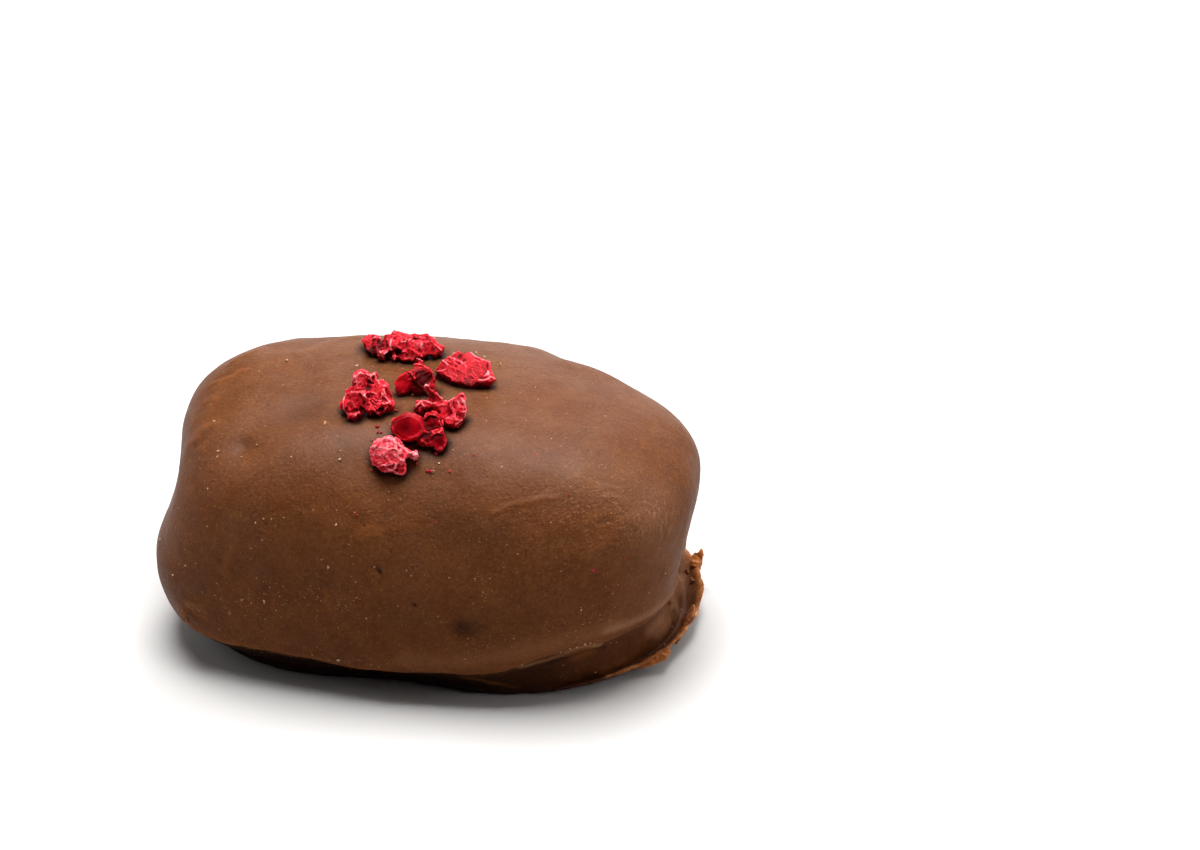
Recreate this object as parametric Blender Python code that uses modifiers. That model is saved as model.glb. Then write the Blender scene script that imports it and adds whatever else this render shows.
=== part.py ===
"""A chocolate-coated date, with bits of freeze-dried raspberry fused to its top.

The coat is one turned-looking solid whose radius and height change round the date: it rests
on a flat foot, whose thin edge curls up at the right end, under an overhanging lip.
Sizes are in millimetres and degrees, and become metres as the meshes are made.
X runs along the date, -Y is its front, and +Z is up.
"""

import math

import bmesh
import bpy
from mathutils import Matrix, Vector, noise
from mathutils.bvhtree import BVHTree

MM = 0.001

# The coat's plan is a rounded rectangle, and its crown is nearly flat.
HALF_LENGTH = 22.6
HALF_WIDTH = 14.5
PLAN_POWER = 2.5
CROWN_HEIGHT = 22.9

# Sizes that change round the date, at plan angles: 0 is the right end and -90 the front.
WIDEST_HEIGHT = {180: 9.0, -90: 5.5, 0: 14.5, 90: 11.0}
SHOULDER_POWER = {180: 3.6, -90: 2.3, 0: 2.5, 90: 3.2}
LIP_HEIGHT = {180: 4.2, -100: 3.0, -65: 3.2, -42: 5.2, -22: 5.3, 5: 6.0, 60: 3.2, 120: 2.6}
LIP_INSET = {180: 0.3, -100: 0.8, -65: 1.2, -42: 1.2, -22: 2.0, 5: 2.2, 60: 1.8, 120: 1.4}
FOOT_INSET = {180: 3.4, -150: 2.8, -105: 3.9, -60: 3.0, -30: 3.2, 5: 2.0, 40: 2.3, 90: 3.8}
FOOT_CURL = {-50: 0.0, -28: 0.5, -12: 0.85, 5: 1.05, 25: 1.1, 60: 0.3, 80: 0.0}

# The foot's edge in section, from its underside round its tip and down into the groove above it:
# (reach, height) past the floor's outline where it lies flat, and what a full curl adds to them.
FOOT_EDGE = [
    ((0.25, 0.0), (0.85, 1.0)),
    ((0.55, 0.25), (1.9, 2.15)),
    ((0.4, 0.45), (1.8, 2.1)),
    ((0.2, 0.5), (1.5, 1.75)),
    ((0.05, 0.6), (1.0, 0.9)),
    ((-0.1, 0.75), (0.55, 0.45)),
]
WALL_BOW = 0.15
LIP_ROUNDING = (0.45, 0.25)

# Swellings and dents of the coat: where, how far they reach along X, Y and Z, and how high.
RELIEF = {
    "back left shoulder": ((-18.0, 4.5, 17.0), (6.0, 6.0, 6.0), 1.3),
    "front left shoulder": ((-19.0, -6.5, 7.5), (6.0, 8.0, 7.0), 2.3),
    "notch in the left end": ((-21.7, -3.0, 13.8), (4.0, 4.0, 3.5), -1.3),
    "back right corner": ((17.0, 11.5, 19.5), (8.0, 8.0, 7.0), -0.95),
    "tuck in the right end": ((22.0, 1.5, 9.0), (6.0, 9.0, 4.0), -0.8),
    "dip in the back edge": ((11.0, 13.7, 20.6), (3.2, 4.0, 5.0), -0.9),
    "rise of the back edge": ((9.0, 14.0, 21.5), (3.5, 4.0, 4.0), 0.4),
    "ridge before the dip": ((12.0, 7.5, 21.5), (3.5, 1.6, 2.0), 0.35),
    "dimple on the top left": ((-14.7, -7.7, 20.5), (2.2, 2.0, 2.0), -0.5),
    "cleft, left part": ((-10.5, -4.8, 22.5), (4.5, 2.5, 3.0), -0.4),
    "cleft, middle": ((-1.0, -3.0, 22.9), (7.0, 2.5, 3.0), -0.3),
    "cleft, right part": ((8.5, -1.5, 22.4), (4.5, 2.2, 3.0), -0.35),
    "dimple in the front": ((4.9, -14.3, 8.6), (1.5, 2.0, 1.3), -0.5),
}
RELIEF_FADES_BELOW = 3.0

COAT_SIDES = 64
COAT_ROWS = 22
CURVE_STEPS = 60

# Raspberry bits. A lobe is (x, y, height, half length, half width, half thickness), its x and y
# measured from the bit's seat and its height from the coat below it. A shard is the tight skin
# round its corners (x, y, height). A spike runs from one such point to another. Crumple is how
# much of CRUMPLE_HEIGHT the bit's skin has, and is 1 where it isn't given.
RASPBERRY = {
    "wide_cluster": {
        "seat": (-3.9, 4.7),
        "lobes": [
            (-2.6, 1.0, 0.6, 0.75, 0.8, 0.7),
            (-1.9, 0.1, 0.5, 0.9, 0.9, 0.8),
            (-1.1, -0.7, 0.6, 0.55, 1.0, 0.75),
            (0.0, -0.8, 0.5, 0.5, 0.7, 0.7),
            (0.3, -0.1, 1.0, 1.7, 1.2, 0.9),
            (1.8, 0.2, 0.9, 1.5, 1.3, 1.0),
            (3.1, 0.4, 0.5, 0.75, 0.9, 0.6),
            (-0.5, 0.8, 1.2, 0.9, 0.7, 0.6),
            (1.0, -0.9, 0.4, 0.9, 0.7, 0.6),
        ],
    },
    "striped_slab": {
        "seat": (2.5, 1.6),
        "crumple": 0.5,
        "shards": [
            [
                (-2.7, -0.4, 0.7), (-2.0, 0.4, 1.5), (-1.0, 1.6, 1.7), (0.2, 1.8, 1.6),
                (2.0, 0.4, 1.5), (2.7, -1.1, 0.9), (2.0, -1.5, 0.9), (0.6, -1.7, 0.8),
                (-0.6, -1.6, 1.0), (-2.5, -0.4, -0.3), (-0.6, -1.3, -0.3), (0.6, -1.5, -0.3),
                (2.1, -1.2, -0.3), (1.6, 0.6, -0.3), (-0.6, 1.4, -0.3),
            ],
        ],
    },
    "tent": {
        "seat": (-1.3, -0.3),
        "crumple": 0.35,
        "shards": [
            [
                (-2.1, -0.9, 0.9), (-1.9, -1.4, 0.2), (-1.4, -1.5, -0.2), (-1.0, 0.0, 1.7),
                (-0.2, -1.2, 2.0), (0.2, -1.1, 0.7), (-0.6, -1.2, -0.2), (0.3, 0.3, 1.5),
            ],
            [
                (-0.2, -1.3, 1.9), (-0.2, -0.1, 2.0), (0.9, 0.4, 1.9), (1.5, 0.2, 0.6),
                (1.8, -0.7, -0.2), (1.3, -1.2, -0.2), (0.1, -0.9, -0.2), (1.3, 0.0, 1.5),
            ],
            [
                (-0.7, 1.0, 1.9), (-0.3, 1.2, 2.2), (0.3, 1.1, 2.1), (0.7, 0.7, 1.8),
                (-0.4, 0.2, 1.5), (0.6, 0.2, 1.4), (0.1, 0.9, 1.2),
            ],
        ],
    },
    "two_peaks": {
        "seat": (-4.9, -3.9),
        "lobes": [
            (-0.5, 0.8, 2.0, 0.95, 0.8, 1.2),
            (0.4, 1.3, 2.0, 0.4, 0.4, 0.7),
            (0.9, 0.7, 1.4, 0.9, 0.9, 1.0),
            (0.8, -0.5, 0.8, 1.0, 0.9, 0.9),
            (1.7, -0.1, 0.6, 0.6, 0.7, 0.7),
            (-1.4, -0.5, 0.8, 0.8, 0.9, 0.9),
            (-0.8, -1.3, 0.4, 0.7, 0.6, 0.6),
            (-0.7, -0.2, 1.2, 1.0, 1.0, 1.0),
        ],
    },
    "spiked": {
        "seat": (1.5, -4.2),
        "lobes": [
            (-1.8, 0.4, 0.7, 0.7, 0.5, 0.5),
            (-0.8, 0.3, 1.0, 0.8, 0.5, 0.6),
            (0.1, -0.1, 0.7, 0.75, 0.7, 0.8),
            (1.3, -0.2, 1.1, 0.75, 0.8, 1.4),
            (1.0, -0.8, 0.5, 0.7, 0.7, 0.8),
            (1.5, 0.1, 1.9, 0.4, 0.4, 0.6),
        ],
        "spikes": [((-0.2, 0.2, 0.9), (-1.4, 0.5, 2.8), 0.42)],
    },
    "smooth_drupelet": {
        "seat": (0.7, -6.7),
        "crumple": 0.45,
        "lobes": [
            (-1.6, 0.2, 1.0, 1.5, 1.3, 1.25),
            (0.3, 1.0, 1.0, 0.8, 0.7, 0.9),
            (0.7, -0.2, 0.7, 0.95, 0.9, 0.9),
            (1.1, -0.5, 0.35, 0.6, 0.7, 0.7),
            (-0.2, -0.3, 0.5, 0.7, 0.6, 0.6),
        ],
    },
    "pale_round": {
        "seat": (-1.1, -8.9),
        "lobes": [
            (-1.1, -0.1, 1.2, 1.5, 1.3, 1.6),
            (0.9, 0.3, 0.9, 0.5, 0.5, 0.45),
            (0.3, 0.3, 0.9, 0.7, 0.6, 0.55),
            (-0.2, -0.4, 0.5, 0.65, 0.6, 0.6),
        ],
    },
}
BIT_GRAIN = 0.2
BIT_TRIANGLES = 360
CRUMPLE_HEIGHT = 0.35
CRUMPLE_SPACING = 0.9
SHORTEST_EDGE = 0.01


def clear_scene():
    for obj in list(bpy.data.objects):
        bpy.data.objects.remove(obj, do_unlink=True)


def new_collection(name):
    collection = bpy.data.collections.new(name)
    bpy.context.scene.collection.children.link(collection)
    return collection


def new_material(name, colour, roughness):
    material = bpy.data.materials.new(name)
    material.use_nodes = True
    shader = material.node_tree.nodes["Principled BSDF"]
    shader.inputs["Base Color"].default_value = (*colour, 1.0)
    shader.inputs["Roughness"].default_value = roughness
    shader.inputs["Metallic"].default_value = 0.0
    material.diffuse_color = (*colour, 1.0)
    return material


def ease(share):
    return share * share * (3 - 2 * share)


def around(sizes, angle):
    """The size at a plan angle, eased between the angles that it is given for."""
    turn = math.degrees(angle)
    keys = sorted(sizes)
    before = max(keys, key=lambda key: -((turn - key) % 360))
    after = min(keys, key=lambda key: (key - turn) % 360 or 360)
    share = ((turn - before) % 360) / ((after - before) % 360)
    return sizes[before] + (sizes[after] - sizes[before]) * ease(share)


def plan_radius(angle):
    along = abs(math.cos(angle)) / HALF_LENGTH
    across = abs(math.sin(angle)) / HALF_WIDTH
    return (along**PLAN_POWER + across**PLAN_POWER) ** (-1 / PLAN_POWER)


def foot_stations(angle):
    """(radius, height) from the middle of the underside, round the foot's edge, to the lip."""
    widest = plan_radius(angle)
    lip = widest - around(LIP_INSET, angle)
    lip_height = around(LIP_HEIGHT, angle)
    floor = widest - around(FOOT_INSET, angle)
    curl = around(FOOT_CURL, angle)
    stations = [(0.0, 0.0), (0.5 * floor, 0.0), (floor - 0.8, 0.0), (floor - 0.1, 0.0)]
    for (reach, height), (more_reach, more_height) in FOOT_EDGE:
        stations.append((floor + reach + more_reach * curl, height + more_height * curl))
    groove, groove_height = stations[-1]
    wall = 0.55 * groove + 0.45 * lip
    stations.append((wall, 0.5 * (groove_height + lip_height) - WALL_BOW))
    stations.append((lip - LIP_ROUNDING[0], lip_height - LIP_ROUNDING[1]))
    stations.append((lip, lip_height))
    return stations


def rounded(stations):
    """The stations with one more between each two, and their corners eased."""
    points = [Vector(station) for station in stations]
    smooth = [points[0]]
    for index, point in enumerate(points[1:], start=1):
        smooth.append((points[index - 1] + point) / 2)
        if index < len(points) - 1:
            smooth.append((points[index - 1] + 6 * point + points[index + 1]) / 8)
    smooth.append(points[-1])
    return smooth


def coat_curve(angle):
    """(radius, height) from the lip out to the widest point, then over the shoulder."""
    widest = plan_radius(angle)
    widest_height = around(WIDEST_HEIGHT, angle)
    lip = widest - around(LIP_INSET, angle)
    lip_height = around(LIP_HEIGHT, angle)
    power = 2 / around(SHOULDER_POWER, angle)
    curve = []
    for step in range(CURVE_STEPS):
        turn = 0.5 * math.pi * step / CURVE_STEPS
        radius = lip + (widest - lip) * math.sin(turn)
        height = lip_height + (widest_height - lip_height) * (1 - math.cos(turn))
        curve.append(Vector((radius, height)))
    for step in range(CURVE_STEPS + 1):
        turn = 0.5 * math.pi * step / CURVE_STEPS
        radius = widest * max(0.0, math.cos(turn)) ** power
        height = widest_height + (CROWN_HEIGHT - widest_height) * math.sin(turn) ** power
        curve.append(Vector((radius, height)))
    return curve


def spaced(curve, count):
    """Points at equal steps along the curve, without its first one."""
    lengths = [0.0]
    for start, end in zip(curve, curve[1:]):
        lengths.append(lengths[-1] + (end - start).length)
    points = []
    index = 0
    for step in range(1, count):
        wanted = lengths[-1] * step / count
        while lengths[index + 1] < wanted:
            index += 1
        share = (wanted - lengths[index]) / (lengths[index + 1] - lengths[index])
        points.append(curve[index].lerp(curve[index + 1], share))
    return points + [curve[-1]]


def section(angle):
    return rounded(foot_stations(angle)) + spaced(coat_curve(angle), COAT_ROWS)


def relief_at(point):
    """How far the coat stands out of its plain form at this point."""
    height = 0.0
    for centre, reach, size in RELIEF.values():
        steps = [(point[axis] - centre[axis]) / reach[axis] for axis in range(3)]
        height += size * math.exp(-sum(step * step for step in steps))
    return height * ease(min(1.0, max(0.0, point.z / RELIEF_FADES_BELOW)))


def make_coat(collection, material):
    """A sphere whose rows and columns are moved onto the coat's sections."""
    rows = len(section(0.0))
    mesh = bmesh.new()
    bmesh.ops.create_uvsphere(mesh, u_segments=COAT_SIDES, v_segments=rows - 1, radius=1.0)
    sections = {}
    for vertex in mesh.verts:
        angle = math.atan2(vertex.co.y, vertex.co.x)
        column = round(angle / math.tau * COAT_SIDES)
        if column not in sections:
            sections[column] = section(angle)
        row = round(math.acos(max(-1.0, min(1.0, -vertex.co.z))) / math.pi * (rows - 1))
        radius, height = sections[column][row]
        vertex.co = (radius * math.cos(angle), radius * math.sin(angle), height)
    mesh.normal_update()
    moves = [(vertex, vertex.normal * relief_at(vertex.co)) for vertex in mesh.verts]
    for vertex, move in moves:
        vertex.co += move
    bmesh.ops.scale(mesh, vec=(MM, MM, MM), verts=mesh.verts)
    return new_object("chocolate_date", mesh, collection, material)


def new_object(name, mesh, collection, material):
    data = bpy.data.meshes.new(name)
    mesh.to_mesh(data)
    mesh.free()
    data.materials.append(material)
    obj = bpy.data.objects.new(name, data)
    collection.objects.link(obj)
    return obj


def surface_of(obj):
    mesh = bmesh.new()
    mesh.from_mesh(obj.data)
    tree = BVHTree.FromBMesh(mesh)
    mesh.free()
    return tree


def on_coat(surface, seat, x, y, height):
    """The point this high over the coat, at x and y from the seat, in metres."""
    place = Vector((seat[0] + x, seat[1] + y, 2 * CROWN_HEIGHT)) * MM
    hit = surface.ray_cast(place, Vector((0.0, 0.0, -1.0)))[0]
    return hit + Vector((0.0, 0.0, height * MM))


def add_lobe(mesh, surface, seat, lobe):
    x, y, height, *halves = lobe
    size = Matrix.Diagonal([half * MM for half in halves] + [1.0])
    place = Matrix.Translation(on_coat(surface, seat, x, y, height))
    bmesh.ops.create_icosphere(mesh, subdivisions=3, radius=1.0, matrix=place @ size)


def add_shard(mesh, surface, seat, corners):
    verts = [mesh.verts.new(on_coat(surface, seat, *corner)) for corner in corners]
    hull = bmesh.ops.convex_hull(mesh, input=verts)
    inside = [item for item in hull["geom_interior"] if isinstance(item, bmesh.types.BMVert)]
    bmesh.ops.delete(mesh, geom=inside, context="VERTS")


def add_spike(mesh, surface, seat, spike):
    start, end, thickness = spike
    base = on_coat(surface, seat, *start)
    tip = on_coat(surface, seat, *end)
    turn = Vector((0.0, 0.0, 1.0)).rotation_difference(tip - base).to_matrix().to_4x4()
    bmesh.ops.create_cone(
        mesh,
        cap_ends=True,
        segments=8,
        radius1=thickness * MM,
        radius2=0.35 * thickness * MM,
        depth=(tip - base).length,
        matrix=Matrix.Translation((base + tip) / 2) @ turn,
    )


def evaluated_copy(obj):
    graph = bpy.context.evaluated_depsgraph_get()
    return bpy.data.meshes.new_from_object(obj.evaluated_get(graph))


def crumple(obj, size):
    """Dents the skin as drying has shrunk it, most away from the creases of the noise."""
    places = [vertex.co / (CRUMPLE_SPACING * MM) for vertex in obj.data.vertices]
    heights = [0.5 - abs(noise.noise(place)) * 2 for place in places]
    moves = [vertex.normal * size * MM for vertex in obj.data.vertices]
    for vertex, height, move in zip(obj.data.vertices, heights, moves):
        vertex.co += move * height


def make_one_skin(obj):
    skin = obj.modifiers.new("One skin", "REMESH")
    skin.mode = "VOXEL"
    skin.voxel_size = BIT_GRAIN * MM
    obj.data = evaluated_copy(obj)
    obj.modifiers.clear()


def make_bit(name, bit, surface, collection, material):
    """One bit: its lobes, shards and spikes, merged into one skin with few faces."""
    mesh = bmesh.new()
    for lobe in bit.get("lobes", []):
        add_lobe(mesh, surface, bit["seat"], lobe)
    for corners in bit.get("shards", []):
        add_shard(mesh, surface, bit["seat"], corners)
    for spike in bit.get("spikes", []):
        add_spike(mesh, surface, bit["seat"], spike)
    bmesh.ops.recalc_face_normals(mesh, faces=mesh.faces)
    obj = new_object(name, mesh, collection, material)
    make_one_skin(obj)
    crumple(obj, CRUMPLE_HEIGHT * bit.get("crumple", 1.0))
    make_one_skin(obj)
    fewer = obj.modifiers.new("Few faces", "DECIMATE")
    fewer.ratio = min(1.0, BIT_TRIANGLES / (2 * len(obj.data.polygons)))
    obj.data = evaluated_copy(obj)
    obj.modifiers.clear()
    return obj


def fuse(coat, bits):
    """One Boolean union of the coat with all the bits, which are then removed."""
    union = coat.modifiers.new("Fused raspberry", "BOOLEAN")
    union.operation = "UNION"
    union.operand_type = "COLLECTION"
    union.collection = bits
    union.solver = "EXACT"
    union.material_mode = "TRANSFER"
    coat.data = evaluated_copy(coat)
    coat.modifiers.clear()
    for obj in list(bits.objects):
        bpy.data.objects.remove(obj, do_unlink=True)
    bpy.data.collections.remove(bits)


def island_of(start):
    found = {start}
    edge = [start]
    while edge:
        vertex = edge.pop()
        for link in vertex.link_edges:
            other = link.other_vert(vertex)
            if other not in found:
                found.add(other)
                edge.append(other)
    return found


def keep_outer_skin(obj):
    """Drops loose scraps and the skins of sealed hollows, and splits every face in triangles."""
    mesh = bmesh.new()
    mesh.from_mesh(obj.data)
    left = set(mesh.verts)
    islands = []
    while left:
        islands.append(island_of(next(iter(left))))
        left -= islands[-1]
    outer = max(islands, key=len)
    scraps = [vertex for vertex in mesh.verts if vertex not in outer]
    bmesh.ops.delete(mesh, geom=scraps, context="VERTS")
    bmesh.ops.remove_doubles(mesh, verts=mesh.verts, dist=SHORTEST_EDGE * MM)
    bmesh.ops.triangulate(mesh, faces=mesh.faces)
    mesh.to_mesh(obj.data)
    mesh.free()


def rest_on_origin(obj):
    """Moves the mesh so that the origin is below its middle, on the floor."""
    xs = [vertex.co.x for vertex in obj.data.vertices]
    ys = [vertex.co.y for vertex in obj.data.vertices]
    zs = [vertex.co.z for vertex in obj.data.vertices]
    middle = Vector(((min(xs) + max(xs)) / 2, (min(ys) + max(ys)) / 2, min(zs)))
    obj.data.transform(Matrix.Translation(-middle))


def shade_round(obj, sharp_angle):
    obj.data.shade_smooth()
    obj.data.set_sharp_from_angle(angle=math.radians(sharp_angle))


def main():
    clear_scene()
    date = new_collection("Chocolate date")
    bits = new_collection("Raspberry bits")
    chocolate = new_material("milk chocolate", (0.19, 0.085, 0.045), 0.45)
    raspberry = new_material("dried raspberry", (0.45, 0.012, 0.03), 0.6)
    coat = make_coat(date, chocolate)
    surface = surface_of(coat)
    for name, bit in RASPBERRY.items():
        make_bit(name, bit, surface, bits, raspberry)
    fuse(coat, bits)
    keep_outer_skin(coat)
    rest_on_origin(coat)
    shade_round(coat, 35)


main()
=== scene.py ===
import math

import bmesh
import bpy
import numpy as np
from mathutils import Matrix, Vector, noise
from mathutils.bvhtree import BVHTree


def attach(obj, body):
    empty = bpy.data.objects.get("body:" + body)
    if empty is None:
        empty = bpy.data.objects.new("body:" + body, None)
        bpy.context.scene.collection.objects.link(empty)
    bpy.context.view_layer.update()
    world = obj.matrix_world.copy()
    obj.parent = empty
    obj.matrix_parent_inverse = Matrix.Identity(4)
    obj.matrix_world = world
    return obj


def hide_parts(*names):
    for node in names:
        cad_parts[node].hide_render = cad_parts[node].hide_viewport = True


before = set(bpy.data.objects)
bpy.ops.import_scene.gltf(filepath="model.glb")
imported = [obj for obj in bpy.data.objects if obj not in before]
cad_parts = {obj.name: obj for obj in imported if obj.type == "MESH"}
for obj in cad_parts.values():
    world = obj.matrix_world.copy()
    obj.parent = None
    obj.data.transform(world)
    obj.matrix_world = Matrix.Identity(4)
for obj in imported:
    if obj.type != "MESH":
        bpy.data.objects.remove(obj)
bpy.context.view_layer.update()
mm = 0.001
print("frame loaded")


# the camera, in mm and degrees, with pixels in the photograph's frame
cameraPlan = {
    "frame": (1200, 850),
    "sensor": 36.0,
    "lens": 95.0,
    "azimuth": 8.0,
    "elevation": 32.0,
    "aim": (0.39, 0.0, 0.0),  # this point of the floor ...
    "aimPixel": (441, 608),  # ... is seen at this pixel
    "aimDepth": 278.0,  # measured along the lens's axis
    "clip": (0.01, 20.0),  # in metres
}


def towards(azimuth, elevation):
    # a direction, in degrees round from the front and up
    turn, rise = math.radians(azimuth), math.radians(elevation)
    return Vector((math.sin(turn) * math.cos(rise), -math.cos(turn) * math.cos(rise), math.sin(rise)))


def pixelSlope(pixel):
    # how far right of the lens's axis and above it a pixel is, at a depth of 1
    width, height = cameraPlan["frame"]
    pixels = width * cameraPlan["lens"] / cameraPlan["sensor"]
    return (pixel[0] - width / 2) / pixels, (height / 2 - pixel[1]) / pixels


def cameraFrame():
    # its place in mm, and its right, up and back directions
    back = towards(cameraPlan["azimuth"], cameraPlan["elevation"])
    turn = math.radians(cameraPlan["azimuth"])
    right = Vector((math.cos(turn), math.sin(turn), 0.0))
    up = back.cross(right)
    depth = cameraPlan["aimDepth"]
    across, above = pixelSlope(cameraPlan["aimPixel"])
    aside = right * (across * depth)
    place = Vector(cameraPlan["aim"]) - aside - up * (above * depth) + back * depth
    return place, right, up, back


def pixelRay(pixel):
    # from the camera through a pixel of the photograph, in mm
    place, right, up, back = cameraFrame()
    across, above = pixelSlope(pixel)
    return place, (right * across + up * above - back).normalized()


def makeCamera():
    place, right, up, back = cameraFrame()
    data = bpy.data.cameras.new("camera")
    data.lens = cameraPlan["lens"]
    data.sensor_width = cameraPlan["sensor"]
    data.clip_start, data.clip_end = cameraPlan["clip"]
    camera = bpy.data.objects.new("camera", data)
    bpy.context.scene.collection.objects.link(camera)
    camera.matrix_world = Matrix((
        (right.x, up.x, back.x, place.x * mm),
        (right.y, up.y, back.y, place.y * mm),
        (right.z, up.z, back.z, place.z * mm),
        (0.0, 0.0, 0.0, 1.0),
    ))
    bpy.context.scene.camera = camera


makeCamera()
print("camera placed")


class Wire:
    # a socket in an expression: every operator adds a Math node
    def __init__(self, bench, socket):
        self.bench = bench
        self.socket = socket

    def beside(self, name):
        # another output of the same node
        return Wire(self.bench, self.socket.node.outputs[name])

    def maths(self, operation, *values):
        return self.bench.node("ShaderNodeMath", {"operation": operation}, dict(enumerate(values)))

    def __add__(self, other):
        return self.maths("ADD", self, other)

    def __sub__(self, other):
        return self.maths("SUBTRACT", self, other)

    def __rsub__(self, other):
        return self.maths("SUBTRACT", other, self)

    def __mul__(self, other):
        return self.maths("MULTIPLY", self, other)

    def __pow__(self, other):
        return self.maths("POWER", self, other)

    def __lt__(self, other):
        return self.maths("LESS_THAN", self, other)

    def __abs__(self):
        return self.maths("ABSOLUTE", self)

    __radd__ = __add__
    __rmul__ = __mul__


class Bench:
    # where a tree's nodes are made
    def __init__(self, tree):
        self.tree = tree

    def node(self, kind, settings=None, values=None, out=0):
        made = self.tree.nodes.new(kind)
        for name, value in (settings or {}).items():
            if name == "stops":
                self.fillRamp(made.color_ramp, value)
            else:
                setattr(made, name, value)
        for name, value in (values or {}).items():
            self.feed(made.inputs[name], value)
        return Wire(self, made.outputs[out])

    def feed(self, socket, value):
        if isinstance(value, Wire):
            self.tree.links.new(value.socket, socket)
        else:
            socket.default_value = value

    def fillRamp(self, ramp, stops):
        while len(ramp.elements) < len(stops):
            ramp.elements.new(0.5)
        for element, (place, colour) in zip(ramp.elements, stops):
            element.position = place
            element.color = (*colour, 1.0)

    def vector(self, operation, values, out="Vector"):
        return self.node("ShaderNodeVectorMath", {"operation": operation}, values, out)


class Paint(Bench):
    # a material's bench: patterns are in mm on Object coordinates
    def __init__(self, name):
        self.material = bpy.data.materials.new(name)
        self.material.use_nodes = True
        super().__init__(self.material.node_tree)
        self.shader = self.tree.nodes["Principled BSDF"]
        coords = self.node("ShaderNodeTexCoord", out="Object")
        self.place = self.node("ShaderNodeMapping", {}, {"Vector": coords, "Scale": (1 / mm,) * 3})

    def noise(self, size, detail=2.0, roughness=0.5, distortion=0.0, place=None):
        values = {"Vector": place or self.place, "Scale": 1 / size, "Detail": detail}
        values.update({"Roughness": roughness, "Distortion": distortion})
        return self.node("ShaderNodeTexNoise", {}, values)

    def patterns(self, sizes):
        return {name: self.noise(*values) for name, values in sizes.items()}

    def cells(self, size, out="Distance", place=None):
        values = {"Vector": place or self.place, "Scale": 1 / size}
        return self.node("ShaderNodeTexVoronoi", {}, values, out)

    def attribute(self, name):
        return self.node("ShaderNodeAttribute", {"attribute_name": name}, out="Fac")

    def between(self, value, low, high):
        # 0 at low and 1 at high, eased
        values = {"Value": value, "From Min": low, "From Max": high}
        return self.node("ShaderNodeMapRange", {"interpolation_type": "SMOOTHSTEP"}, values)

    def mix(self, share, first, second):
        # this share of the second colour over the first
        first, second = [value if isinstance(value, Wire) else (*value, 1.0) for value in (first, second)]
        return self.node("ShaderNodeMix", {"data_type": "RGBA"}, {0: share, 6: first, 7: second}, 2)

    def brushed(self, course, width, length, low):
        # streaks along a direction, 0 to 1, fewer where low is higher
        along = self.vector("DOT_PRODUCT", {0: self.place, 1: course}, "Value")
        back = self.vector("SCALE", {0: course, "Scale": along * (width / length - 1)})
        squeezed = self.vector("ADD", {0: self.place, 1: back})
        streaks = self.noise(width, detail=1.0, distortion=0.3, place=squeezed)
        return self.between(streaks, low, low + 0.16)

    def specks(self, size, radius, share, shift):
        # round specks in this share of the cells
        moved = self.vector("ADD", {0: self.place, 1: (shift,) * 3})
        chance = self.node("ShaderNodeSeparateColor", {}, {"Color": self.cells(size, "Color", moved)})
        near = self.between(self.cells(size, place=moved), radius, 0.5 * radius)
        return near * (chance < share)

    def bump(self, height, depth, over=None):
        # depth in mm is what a height of 1 stands for
        values = {"Height": height, "Distance": depth * mm}
        if over:
            values["Normal"] = over
        return self.node("ShaderNodeBump", {}, values)

    def finish(self, **inputs):
        for name, value in inputs.items():
            self.feed(self.shader.inputs[name.replace("_", " ")], value)
        return self.material


# the coat's form in mm, the same as the CAD solid's
coatShape = {
    "halfLength": 22.6,
    "halfWidth": 14.5,
    "planPower": 2.5,
    "crownHeight": 22.9,
    "segments": 128,  # along each edge of the cube that becomes the coat
    "arcPoints": 61,  # of a section's line from the lip to the widest row, and from there to the crown
    "undersideRings": 12,  # of the rings below the foot's edge, those on the flat
    "wallRows": 26,  # rows from the groove above the foot to the lip
    "flatEdge": (0.8, 0.1),  # where the flat's last stations are, in from the floor's outline
    "plainFoot": (0.56, 0.02),  # reach of the foot where it doesn't curl, less this much a station
    "grooveShares": (0.55, 0.45),  # of the foot's reach and the lip's, in the groove's
    "grooveDrop": 0.15,
    "lipUnder": (0.45, 0.25),  # in and down from the lip to the station below it
    "undercut": (0.12, 0.30, 0.34, 0.24, 0.12, 0.05),  # how far the rows below the lip step back
    # reach of the painted glow of light through the foot's thin edge, and its share where the foot doesn't
    # curl
    "edgeWidth": 0.55,
    "plainEdge": 0.25,  # share of the edge's glow where the foot doesn't curl
    "ringRadius": 18.0,  # of the ring on which the edges' waves are read
    "overhead": 60.0,  # a height over everything
    "reliefFade": 3.0,  # height over the floor at which the relief has its full size
}
widestHeight = {180: 9.0, -90: 5.5, 0: 14.5, 90: 11.0}  # each by plan angle, in degrees
shoulderPower = {180: 3.6, -90: 2.3, 0: 2.5, 90: 3.2}
lipHeight = {180: 4.2, -100: 3.0, -65: 3.2, -42: 5.2, -22: 5.3, 5: 6.0, 60: 3.2, 120: 2.6}
lipInset = {180: 0.3, -100: 0.8, -65: 1.2, -42: 1.2, -22: 2.0, 5: 2.2, 60: 1.8, 120: 1.4}
footInset = {180: 3.4, -150: 2.8, -105: 3.9, -60: 3.0, -30: 3.2, 5: 2.0, 40: 2.3, 90: 3.8}
footCurl = {-50: 0.0, -28: 0.5, -12: 0.85, 5: 1.05, 25: 1.1, 60: 0.3, 80: 0.0}
footEdge = [  # (reach, height) past the floor's outline where it lies flat, and what a curl adds
    ((0.25, 0.0), (0.85, 1.0)),
    ((0.55, 0.25), (1.9, 2.15)),
    ((0.4, 0.45), (1.8, 2.1)),
    ((0.2, 0.5), (1.5, 1.75)),
    ((0.05, 0.6), (1.0, 0.9)),
    ((-0.1, 0.75), (0.55, 0.45)),
]
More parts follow.
